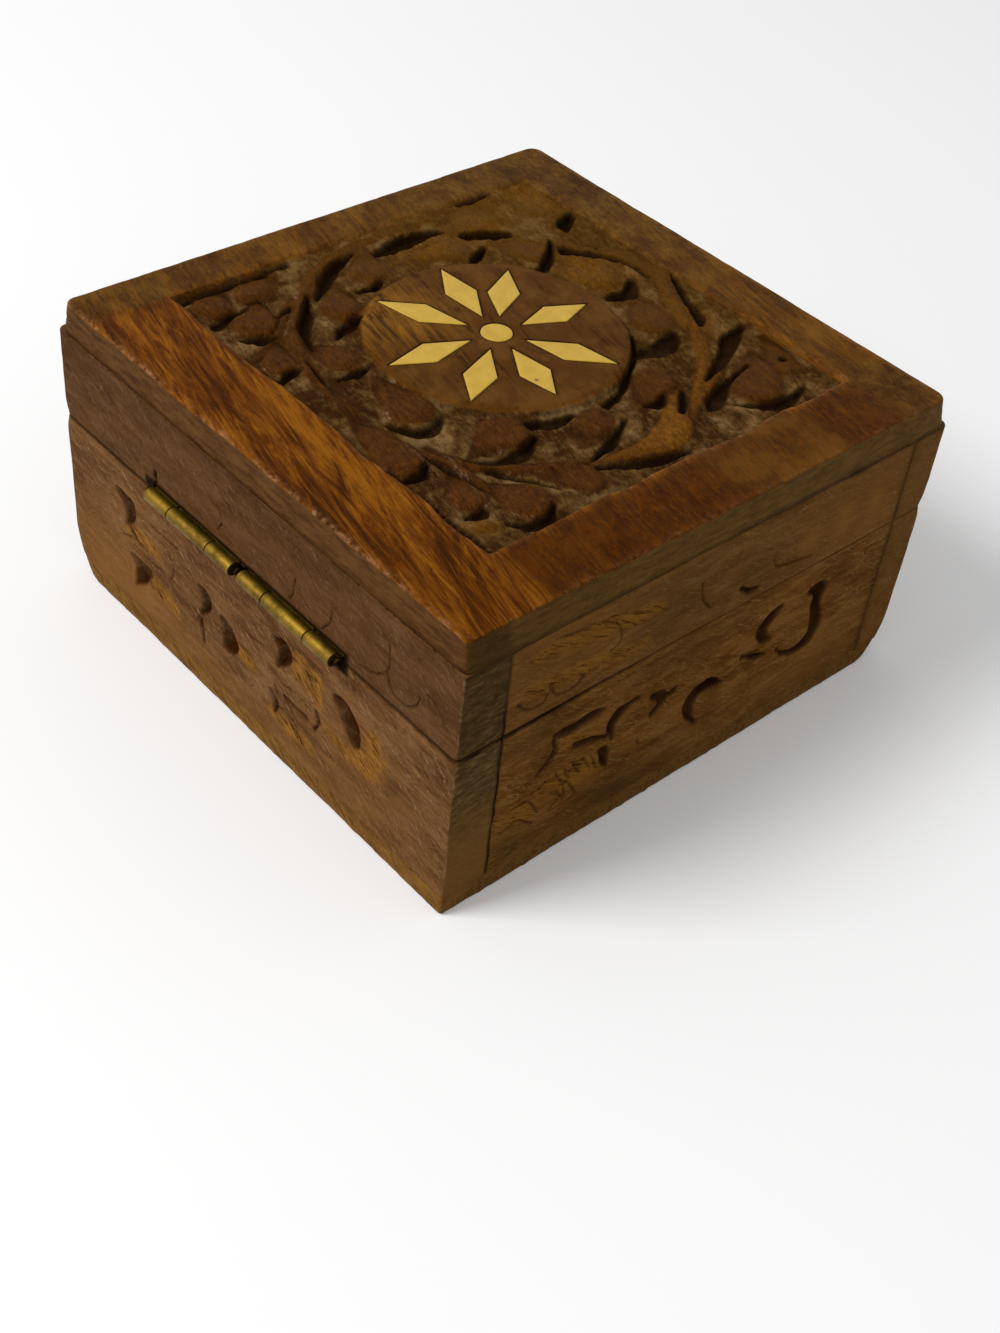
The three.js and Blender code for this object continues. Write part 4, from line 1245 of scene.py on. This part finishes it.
def petalOutline(petal, steps):
    # The rhomb's four corners joined by straight sides: a line round its middle, its place and inner radius.
    angle, reach, lean, leanBack = petal
    inner, outer, half = inlays["inner"], inlays["outer"] * reach, inlays["width"] / 2
    middle = (inner + outer) / 2
    rows = np.array([(inner, 0), (middle + lean, -half), (outer, 0), (middle + leanBack, half)])
    share = np.linspace(0, 1, steps, endpoint=False)[:, None]
    line = np.vstack([rows[k] * (1 - share) + rows[(k + 1) % 4] * share for k in range(4)])
    line = line - (middle, 0)
    c, s = math.cos(math.radians(angle)), math.sin(math.radians(angle))
    turned = np.column_stack([line[:, 0] * c - line[:, 1] * s, line[:, 0] * s + line[:, 1] * c])
    place = np.array(inlays["middle"]) + middle * np.array([c, s])
    return turned, place, (outer - inner) / 2 * half / math.hypot((outer - inner) / 2, half)


def dotOutline():
    # A circle with a slight waviness: a line round its middle, its place and its radius.
    turn = np.linspace(0, 2 * np.pi, 40, endpoint=False)
    radius = inlays["dotRadius"]
    line = np.column_stack([radius * np.cos(turn), radius * np.sin(turn)])
    uneven = 1 + 0.015 * noise(line[:, 0], line[:, 1], 1.5, 90)
    return line * uneven[:, None], np.array(inlays["middle"]), radius


def inlayOutlines(steps=9):
    outlines = {f"inlayPetal{k + 1}": petalOutline(petal, steps) for k, petal in enumerate(inlays["petals"])}
    outlines["inlayDot"] = dotOutline()
    return outlines


def inlayShell(outline, margin, levels):
    # The outline grown or drawn in by each ring's margin, at that ring's level.
    line, place, reach = outline
    rings = []
    for grow, z in levels:
        ring = line * (1 + (grow + margin) / reach) + place
        rings.append(np.column_stack([ring, np.full(len(ring), z)]))
    return tubeShell(np.array(rings))


def makeInlays():
    top, floor = inlays["top"], inlays["top"] - inlays["depth"]
    made, pockets = [], []
    levels = [(0, floor)] + [(grow, top + lift) for grow, lift in inlays["rounded"]]
    for name, outline in inlayOutlines().items():
        piece = newPiece(name, *inlayShell(outline, 0, levels), shades=50)
        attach(piece, "lid")
        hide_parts(name.replace("inlayPetal", "inlay_petal_").replace("inlayDot", "inlay_dot"))
        made.append(piece)
        pockets.append(inlayShell(outline, inlays["gap"], [(0, floor), (0, top + 2)]))
    return made, joined(pockets)


inlayPieces, pockets = makeInlays()
print("inlay cut")


def makeLid(board):
    low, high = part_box("lid_top_board")
    board["half"] = (high[0] / mm, high[1] / mm)
    board["thick"] = (high[2] - low[2]) / mm
    top = high[2] / mm
    fields = lidFields(board)
    points, quads, fan = topBoardShell(board, lidHeight(board, fields))
    made = newPiece("lidBoard", points + (0, 0, top), quads, fan)
    cutOut(made, [pockets])
    setMarks(made, lidMarks(board, fields, top))
    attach(made, "lid")
    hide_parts("lid_top_board")
    return made


lidPiece = makeLid(lidBoard)
print("lid board carved")

# Materials


class Graph:
    # A material's nodes, made and linked by short calls.
    def __init__(self, name, look):
        self.material = bpy.data.materials.new(name)
        self.material.use_nodes = True
        self.tree = self.material.node_tree
        self.shader = self.tree.nodes["Principled BSDF"]
        self.look, self.places, self.color = look, {}, None

    def add(self, kind, inputs=None, **settings):
        made = self.tree.nodes.new("ShaderNode" + kind)
        for key, value in settings.items():
            setattr(made, key, value)
        for key, value in (inputs or {}).items():
            self.put(value, made.inputs[key])
        return made

    def put(self, value, socket):
        # A value is a socket, a number, or the name of a colour in the look.
        if isinstance(value, str):
            value = self.look[value]
        if isinstance(value, bpy.types.NodeSocket):
            self.tree.links.new(value, socket)
        elif socket.type == "RGBA":
            socket.default_value = (*value, 1)
        else:
            socket.default_value = value

    def mark(self, name, share=None):
        made = self.add("Attribute", attribute_name=name).outputs["Fac"]
        return made if share is None else self.math("MULTIPLY", made, share)

    def mix(self, share, first, second, blend="MIX"):
        made = self.add("Mix", data_type="RGBA", blend_type=blend, clamp_factor=True)
        self.put(share, made.inputs["Factor"])
        self.put(first, made.inputs[6])
        self.put(second, made.inputs[7])
        return made.outputs[2]

    def paint(self, share, color):
        # Lays a colour over what the material has so far.
        self.color = self.mix(share, self.color, color)

    def math(self, operation, first, second=0.0, clamp=False):
        made = self.add("Math", operation=operation, use_clamp=clamp)
        self.put(first, made.inputs[0])
        self.put(second, made.inputs[1])
        return made.outputs[0]

    def blend(self, first, shareFirst, second, shareSecond):
        parts = self.math("MULTIPLY", first, shareFirst), self.math("MULTIPLY", second, shareSecond)
        return self.math("ADD", *parts)

    def range(self, value, low, high, toLow=0.0, toHigh=1.0):
        names = ("Value", "From Min", "From Max", "To Min", "To Max")
        return self.add("MapRange", dict(zip(names, (value, low, high, toLow, toHigh)))).outputs[0]

    def height(self):
        # The level above the floor, in metres.
        return self.add("SeparateXYZ", {"Vector": self.add("TexCoord").outputs["Object"]}).outputs["Z"]

    def place(self, axis, stretch, turned):
        # Millimetres, turned as the look says, then pressed together along the axis, so spots become streaks.
        key = (axis, stretch, turned)
        if key not in self.places:
            scale = [1000.0, 1000.0, 1000.0]
            scale["XYZ".index(axis)] = 1000.0 / stretch
            turn = tuple(turned * angle for angle in self.look.get("turn", (0, 0, 0)))
            coordinates = self.add("TexCoord").outputs["Object"]
            flat = self.add("Mapping", {"Vector": coordinates, "Rotation": turn}).outputs[0]
            self.places[key] = self.add("Mapping", {"Vector": flat, "Scale": tuple(scale)}).outputs[0]
        return self.places[key]

    def noises(self, patterns):
        # Noise textures by name, each from its axis, stretch, share of the look's turn, scale, detail,
        # roughness and distortion.
        made = {}
        names = ("Scale", "Detail", "Roughness", "Distortion")
        for name, (axis, stretch, turned, *settings) in patterns.items():
            vector = self.place(self.look["axis"] if axis == "grain" else axis, stretch, turned)
            made[name] = self.add("TexNoise", {"Vector": vector, **dict(zip(names, settings))}).outputs[0]
        return made

    def ramp(self, value, stops):
        made = self.add("ValToRGB", {"Fac": value})
        marks = made.color_ramp.elements
        while len(marks) < len(stops):
            marks.new(0.5)
        for mark, (position, color) in zip(marks, stops):
            mark.position = position
            mark.color = (*self.look[color], 1)
        return made.outputs[0]

    def finish(self, rough, bumps, shine, tint=(1.0, 1.0, 1.0)):
        self.put(self.color, self.shader.inputs["Base Color"])
        self.put(rough, self.shader.inputs["Roughness"])
        self.shader.inputs["Specular IOR Level"].default_value = shine
        self.shader.inputs["Specular Tint"].default_value = (*tint, 1)
        normal = None
        for height, distance in bumps:
            bump = self.add("Bump", {"Height": height, "Distance": distance, "Strength": 1.0})
            if normal:
                self.put(normal, bump.inputs["Normal"])
            normal = bump.outputs[0]
        self.put(normal, self.shader.inputs["Normal"])
        return self.material


def linear(red, green, blue):
    # An sRGB colour, 0 to 255, as the shader's linear values.
    shares = (c / 255 for c in (red, green, blue))
    return tuple(((c + 0.055) / 1.055) ** 2.4 if c > 0.04 else c / 12.92 for c in shares)


def tones(**colors):
    return {name: linear(*color) for name, color in colors.items()}


topPatterns = {
    "streak": ("X", 9, 1, 0.62, 9, 0.66, 1.4),
    "band": ("X", 3.2, 1, 0.11, 4, 0.6, 1.5),
    "pores": ("X", 6, 1, 3.4, 3, 0.7, 0),
    "flecks": ("X", 2.2, 1, 1.3, 6, 0.72, 0.8),
    "grit": ("X", 3.5, 1, 1.5, 5, 0.7, 0.5),
    "edge": ("X", 5, 0, 1.2, 5, 0.7, 0),
    "endGrit": ("Y", 5, 0, 1.2, 6, 0.72, 0.5),
    "cloud": ("X", 1, 0, 0.16, 4, 0.6, 0),
    "dust": ("X", 1, 0, 0.35, 5, 0.65, 0),
    "patchy": ("X", 1, 0, 0.9, 5, 0.7, 0),
    "lumps": ("X", 1, 0, 0.75, 6, 0.65, 0.6),
}


def topWood(name, look):
    graph = Graph(name, look)
    grain = graph.noises(topPatterns)
    streak, pores, flecks = grain["streak"], grain["pores"], grain["flecks"]
    grit, cloud = grain["grit"], grain["cloud"]
    blended = graph.blend(streak, 0.6, grain["band"], 0.4)
    graph.color = graph.ramp(blended, [(0.4, "deep"), (0.465, "dark"), (0.515, "base"), (0.58, "light")])
    graph.paint(graph.range(flecks, 0.52, 0.72, 0, 0.4), "dark")
    # The border's -X side, a dull patch in it, and the far sides
    near = graph.ramp(flecks, [(0.36, "nearDark"), (0.5, "near"), (0.64, "nearLight")])
    graph.paint(graph.mark("near", 0.85), graph.mix(graph.range(cloud, 0.5, 0.62, 0, 0.6), near, "nearLight"))
    graph.paint(graph.mark("patch", graph.range(cloud, 0.4, 0.6, 0.1, 0.5)), "patch")
    far = graph.math("MULTIPLY", graph.math("ADD", flecks, cloud), 0.5)
    far = graph.ramp(far, [(0.4, "farDark"), (0.5, "farTone"), (0.6, "farLight")])
    graph.paint(graph.mark("far", 0.85), far)
    graph.paint(graph.range(pores, 0.58, 0.7, 0, 0.6), "deep")
    # The medallion
    disc = graph.ramp(blended, [(0.4, "discDark"), (0.5, "disc")])
    disc = graph.mix(graph.range(cloud, 0.46, 0.6, 0, 0.6), disc, "discPatch")
    disc = graph.mix(graph.mark("warm", graph.range(streak, 0.42, 0.58)), disc, "discLight")
    graph.paint(graph.mark("medallion"), disc)
    # The raised forms and the dusty ground between them
    fleck = graph.range(flecks, 0.35, 0.65)
    carved = graph.mix(graph.mark("far", 0.7), graph.mix(fleck, "carvedDark", "carved"), "carvedFar")
    graph.paint(graph.mark("carved"), carved)
    dusty = graph.blend(cloud, 0.5, grain["dust"], 0.5)
    soil = graph.ramp(dusty, [(0.44, "soilDark"), (0.52, "soil"), (0.6, "dust")])
    soil = graph.mix(graph.range(grit, 0.52, 0.7, 0, 0.5), soil, "dust")
    soil = graph.mix(graph.range(grit, 0.48, 0.34, 0, 0.6), soil, "soilDark")
    soil = graph.mix(graph.mark("far", 0.5), soil, "carvedFar")
    soil = graph.mix(graph.range(graph.mark("warm"), 0.4, 1.0, 0, 0.35), soil, "light")
    graph.paint(graph.mark("ground"), soil)
    graph.paint(graph.mark("gold"), graph.mix(fleck, "goldDark", "gold"))
    # Painted highlights along the forms' edges
    graph.paint(graph.mark("glint", graph.range(pores, 0.48, 0.62)), "glint")
    # Worn wood and a painted highlight along the rim and the field's edge
    graph.paint(graph.mark("wearAndHighlight", graph.range(grain["patchy"], 0.42, 0.62, 0.05, 0.85)), "worn")
    # The board's sides, end grain and underside
    graph.paint(graph.mark("side"), graph.ramp(grain["edge"], [(0.38, "sideDark"), (0.6, "side")]))
    graph.paint(graph.mark("endGrain"), graph.ramp(grain["endGrit"], [(0.38, "endDark"), (0.6, "end")]))
    under = graph.ramp(blended, [(0.38, "underDark"), (0.6, "under")])
    under = graph.mix(graph.range(pores, 0.56, 0.72, 0, 0.5), under, "underDark")
    graph.paint(graph.mark("inside"), under)
    # Painted shade with dirt at the forms' feet, in cuts, hollows and on steep walls; the seam and glue lines
    graph.paint(graph.mark("stain", 0.9), "stain")
    rough = graph.range(flecks, 0.3, 0.7, look["rough"] - 0.08, look["rough"] + 0.12)
    rough = graph.math("ADD", rough, graph.mark("ground", 0.3), clamp=True)
    inCarving = graph.math("ADD", graph.mark("carved"), graph.mark("ground"), clamp=True)
    lumps = graph.math("MULTIPLY", grain["lumps"], inCarving)
    bumps = [(streak, 0.0003), (pores, 0.00012), (grit, 0.00008), (lumps, 0.0006)]
    return graph.finish(rough, bumps, look["shine"], look["tint"])


topLook = {
    "turn": (0, 0, math.radians(13)),
    "rough": 0.42,
    "shine": 0.016,
    "tint": (1.0, 0.75, 0.45),
    **tones(
        deep=(58, 26, 1),
        dark=(90, 45, 4),
        base=(115, 64, 8),
        light=(144, 87, 16),
        near=(60, 27, 0),
        nearDark=(48, 19, 0),
        nearLight=(94, 47, 2),
        patch=(112, 74, 24),
        farDark=(54, 34, 7),
        farTone=(86, 58, 18),
        farLight=(112, 82, 30),
        disc=(85, 50, 12),
        discPatch=(111, 72, 27),
        discDark=(58, 31, 4),
        discLight=(142, 94, 26),
        carved=(97, 57, 17),
        carvedDark=(58, 31, 8),
        carvedFar=(98, 66, 12),
        soil=(97, 68, 33),
        soilDark=(60, 35, 12),
        dust=(132, 102, 62),
        # Painted highlight
        gold=(140, 89, 21),
        # Worn wood, and on the lid's rim a painted highlight
        goldDark=(90, 53, 13),
        glint=(166, 134, 104),
        worn=(162, 114, 74),
        side=(96, 64, 31),
        sideDark=(69, 43, 20),
        end=(107, 77, 34),
        endDark=(82, 57, 24),
        under=(118, 82, 46),
        underDark=(80, 52, 26),
        # Painted shade and dirt
        stain=(26, 11, 3),
    ),
}
wallPatterns = {
    "streak": ("grain", 8, 0, 0.8, 7, 0.66, 1.0),
    "band": ("grain", 2.5, 0, 0.14, 5, 0.62, 1.2),
    "scratch": ("grain", 7, 1, 2.0, 3, 0.6, 0.6),
    "counter": ("grain", 7, -1, 2.2, 3, 0.6, 0.8),
    "swirl": ("grain", 7, 1, 0.7, 2, 0.5, 1.6),
    "fibres": ("grain", 7, 1, 1.7, 5, 0.65, 1.0),
    "ends": ("Y", 3.5, 0, 1.5, 7, 0.75, 0.6),
    "speck": ("X", 1, 0, 1.8, 6, 0.75, 0.4),
    "curl": ("X", 1, 0, 0.5, 6, 0.7, 2.5),
    "worn": ("X", 1, 0, 0.5, 5, 0.7, 0),
}


def wallWood(name, look):
    graph = Graph(name, look)
    grain = graph.noises(wallPatterns)
    streak, scratch, speck, curl = grain["streak"], grain["scratch"], grain["speck"], grain["curl"]
    blended = graph.blend(streak, 0.45, grain["band"], 0.55)
    graph.color = graph.ramp(blended, [(0.4, "dark"), (0.5, "base"), (0.6, "light")])
    graph.paint(graph.range(curl, 0.5, 0.66, 0, 0.5), "dark")
    graph.paint(graph.range(scratch, 0.58, 0.7, 0, 0.5), "light")
    graph.paint(graph.range(grain["counter"], 0.6, 0.72, 0, 0.5), "pore")
    graph.paint(graph.range(speck, 0.55, 0.72, 0, 0.4), "pore")
    # Fine curved scratches where a slow, twisted noise passes its middle value
    swirl = graph.math("ABSOLUTE", graph.math("SUBTRACT", grain["swirl"], 0.5))
    swirl = graph.math("MULTIPLY", graph.range(swirl, 0.022, 0.006), graph.range(curl, 0.4, 0.6, 0.15, 0.9))
    graph.paint(swirl, "worn")
    # The lid's frame has a tone of its own
    height = graph.height()
    graph.paint(graph.range(height, 0.0322, 0.0328, 0, look["railShade"]), "rail")
    graph.paint(graph.mark("pale", 0.7), graph.mix(streak, "base", "pale"))
    graph.paint(graph.mark("dull", 0.7), graph.mix(curl, "dullDark", "dull"))
    scraped = graph.ramp(grain["fibres"], [(0.38, "pore"), (0.46, "ochre"), (0.6, "ochreLight")])
    graph.paint(graph.mark("ochre", graph.range(curl, 0.34, 0.5, 0.6, 1.0)), scraped)
    ends = graph.ramp(grain["ends"], [(0.36, "endDark"), (0.5, "end"), (0.64, "endLight")])
    ends = graph.mix(graph.range(height, 0.0322, 0.0328), ends, "endRail", "MULTIPLY")
    ends = graph.mix(graph.range(height, 0.024, 0.012, 0, 0.7), ends, "endFoot")
    graph.paint(graph.mark("endGrain"), ends)
    graph.paint(graph.mark("wearAndHighlight", graph.range(grain["worn"], 0.42, 0.65, 0, 0.6)), "worn")
    graph.paint(graph.mark("inside"), graph.ramp(blended, [(0.38, "insideDark"), (0.6, "inside")]))
    # Painted shade with dirt in the cuts
    graph.paint(graph.mark("stain"), "stain")
    # Cracks of the joints, and painted shade with dirt in the kerf and round the barrels
    graph.paint(graph.mark("crack", 0.94), "crack")
    rough = graph.range(speck, 0.3, 0.7, look["rough"] - 0.08, look["rough"] + 0.1)
    bumps = [(streak, 0.0002), (curl, 0.00025), (scratch, 0.0001), (speck, 0.0001)]
    return graph.finish(rough, bumps, look["shine"], look["tint"])


backLook = {
    "axis": "X",
    "turn": (0, math.radians(35), 0),
    "rough": 0.6,
    "shine": 0.01,
    "tint": (1.0, 0.8, 0.55),
    "railShade": 0.5,
    "endRail": (0.8, 0.77, 0.75),
    **tones(
        base=(105, 70, 38),
        dark=(80, 50, 25),
        light=(126, 89, 53),
        pore=(58, 34, 16),
        rail=(66, 42, 24),
        ochre=(120, 79, 32),
        ochreLight=(152, 104, 44),
        end=(84, 62, 32),
        endDark=(60, 43, 20),
        endLight=(112, 88, 52),
        endFoot=(120, 82, 37),
        worn=(146, 114, 82),
        pale=(150, 102, 48),
        dull=(74, 54, 34),
        dullDark=(56, 40, 24),
        inside=(124, 88, 52),
        insideDark=(92, 62, 34),
        # Painted shade and dirt in the cuts
        stain=(46, 18, 1),
        # Cracks of the joints, and painted shade with dirt in the kerf
        crack=(17, 8, 3),
    ),
}
sideLook = {
    **backLook,
    "axis": "Y",
    "turn": (math.radians(-28), 0, 0),
    "railShade": 0.3,
    **tones(
        base=(108, 69, 25),
        dark=(84, 50, 12),
        light=(130, 91, 41),
        pore=(58, 33, 8),
        rail=(110, 78, 42),
        ochre=(114, 76, 24),
        ochreLight=(130, 90, 33),
        worn=(136, 106, 60),
        pale=(142, 98, 46),
        dull=(70, 52, 26),
        dullDark=(48, 34, 16),
        # Painted shade and dirt in the cuts
        stain=(40, 14, 1),
    ),
}
frontLook = {**sideLook, "axis": "X", "turn": backLook["turn"], "endRail": (1.0, 1.0, 1.0)}
bottomLook = {
    **backLook,
    "railShade": 0.0,
    **tones(base=(112, 78, 34), dark=(84, 56, 22), light=(134, 96, 44), dull=(70, 52, 8)),
}
brassPatterns = {
    "patina": ("X", 1, 0, 0.35, 5, 0.6, 0),
    "fine": ("X", 8, 0, 2.4, 4, 0.6, 0),
    "tarnish": ("X", 1, 0, 3.2, 3, 0.6, 0),
}
# Its dark serves tarnish, and painted shade on the lower side and the end faces
brassLook = {"rough": 0.5, "shine": 0.5, **tones(base=(128, 101, 33), dull=(90, 70, 24), dark=(48, 34, 16))}
inlayPatterns = {"cloud": ("X", 1, 0, 0.3, 5, 0.6, 0), "fibre": ("X", 5, 0, 1.6, 4, 0.6, 0)}
inlayLook = {
    "rough": 0.4,
    "shine": 0.2,
    # A brown speck in one petal, in metres
    "speckAt": (-0.0089, 0.0018, 0.0532),
    "speckEdge": (0.0005, 0.0002),
    **tones(base=(207, 170, 61), deep=(191, 151, 48), speck=(120, 70, 24)),
}


def brassMaterial(look):
    graph = Graph("hingeBrass", look)
    grain = graph.noises(brassPatterns)
    graph.color = graph.ramp(grain["patina"], [(0.38, "dull"), (0.56, "base")])
    graph.paint(graph.range(grain["fine"], 0.55, 0.75, 0, 0.5), "dull")
    graph.paint(graph.range(grain["tarnish"], 0.62, 0.72, 0, 0.7), "dark")
    # Painted shade: all brass below 32.1 mm, the barrel's lower side and the base's leaves, is darker
    graph.paint(graph.range(graph.height(), 0.0321, 0.0314, 0, 0.75), "dark")
    # Dirt and painted shade on the end faces of knuckles and pins
    graph.paint(graph.mark("ends", 0.8), "dark")
    rough = graph.range(grain["patina"], 0.35, 0.65, look["rough"] + 0.12, look["rough"])
    graph.shader.inputs["Metallic"].default_value = 1.0
    return graph.finish(rough, [(grain["fine"], 0.00003)], look["shine"])


def inlayMaterial(look):
    graph = Graph("inlayCream", look)
    grain = graph.noises(inlayPatterns)
    graph.color = graph.mix(graph.range(grain["cloud"], 0.35, 0.7), "base", "deep")
    graph.paint(graph.range(grain["fibre"], 0.55, 0.75, 0, 0.25), "deep")
    ends = {0: graph.add("TexCoord").outputs["Object"], 1: look["speckAt"]}
    away = graph.add("VectorMath", ends, operation="DISTANCE").outputs["Value"]
    graph.paint(graph.range(away, *look["speckEdge"], 0, 0.85), "speck")
    return graph.finish(look["rough"], [(grain["fibre"], 0.00003)], look["shine"])


def setMaterial(item, material):
    item.data.materials.clear()
    item.data.materials.append(material)


sideWood = wallWood("sideWood", sideLook)
faceWoods = {"back": wallWood("backWood", backLook), "front": wallWood("frontWood", frontLook)}
brass = brassMaterial(brassLook)
inlayCream = inlayMaterial(inlayLook)
setMaterial(lidPiece, topWood("lidWood", topLook))
setMaterial(bottomPiece, wallWood("bottomWood", bottomLook))
for frameBoards in (baseWalls, lidRails):
    for key, piece in frameBoards.items():
        setMaterial(piece, faceWoods.get(key, sideWood))
for piece in hingePieces:
    setMaterial(piece, brass)
for piece in inlayPieces:
    setMaterial(piece, inlayCream)
print("materials set")

# Floor and light

studio = {
    "floor": 0.94,
    # How much whiter the floor looks than its own colour
    "whiter": 0.12,
    "reach": 3.0,
    "world": 0.45,
    "lamp": {"place": (380, 860, 960), "size": 520, "power": 12.0},
}


def seenRays(tree):
    # 1 for what is seen directly, in a reflection or through glass, 0 for light that falls on things.
    rays = tree.nodes.new("ShaderNodeLightPath").outputs
    seen = rays["Is Camera Ray"]
    for kind in ("Is Glossy Ray", "Is Transmission Ray"):
        either = tree.nodes.new("ShaderNodeMath")
        either.operation = "MAXIMUM"
        tree.links.new(seen, either.inputs[0])
        tree.links.new(rays[kind], either.inputs[1])
        seen = either.outputs[0]
    return seen


def makeFloor(look):
    mesh = bpy.data.meshes.new("floor")
    reach = look["reach"]
    square = [(-reach, -reach, 0), (reach, -reach, 0), (reach, reach, 0), (-reach, reach, 0)]
    mesh.from_pydata(square, [], [(0, 1, 2, 3)])
    floor = bpy.data.objects.new("floor", mesh)
    bpy.context.collection.objects.link(floor)
    graph = Graph("floorWhite", look)
    graph.shader.inputs["Base Color"].default_value = (look["floor"],) * 3 + (1,)
    graph.shader.inputs["Roughness"].default_value = 0.9
    graph.shader.inputs["Specular IOR Level"].default_value = 0.0
    graph.shader.inputs["Emission Color"].default_value = (1, 1, 1, 1)
    whiter = graph.math("MULTIPLY", seenRays(graph.tree), look["whiter"])
    graph.put(whiter, graph.shader.inputs["Emission Strength"])
    mesh.materials.append(graph.material)


def makeLight(look):
    world = bpy.data.worlds.new("studio")
    world.use_nodes = True
    background = world.node_tree.nodes["Background"]
    background.inputs["Color"].default_value = (1, 1, 1, 1)
    strength = world.node_tree.nodes.new("ShaderNodeMapRange")
    strength.inputs["To Min"].default_value = look["world"]
    world.node_tree.links.new(seenRays(world.node_tree), strength.inputs["Value"])
    world.node_tree.links.new(strength.outputs[0], background.inputs["Strength"])
    bpy.context.scene.world = world
    data = bpy.data.lights.new("lamp", "AREA")
    data.energy = look["lamp"]["power"]
    data.size = look["lamp"]["size"] * mm
    lamp = bpy.data.objects.new("lamp", data)
    lamp.location = Vector(look["lamp"]["place"]) * mm
    lamp.rotation_euler = (-lamp.location).to_track_quat("-Z", "Y").to_euler()
    bpy.context.collection.objects.link(lamp)


makeFloor(studio)
makeLight(studio)
bpy.context.scene.view_settings.view_transform = "Standard"
print("studio lit")
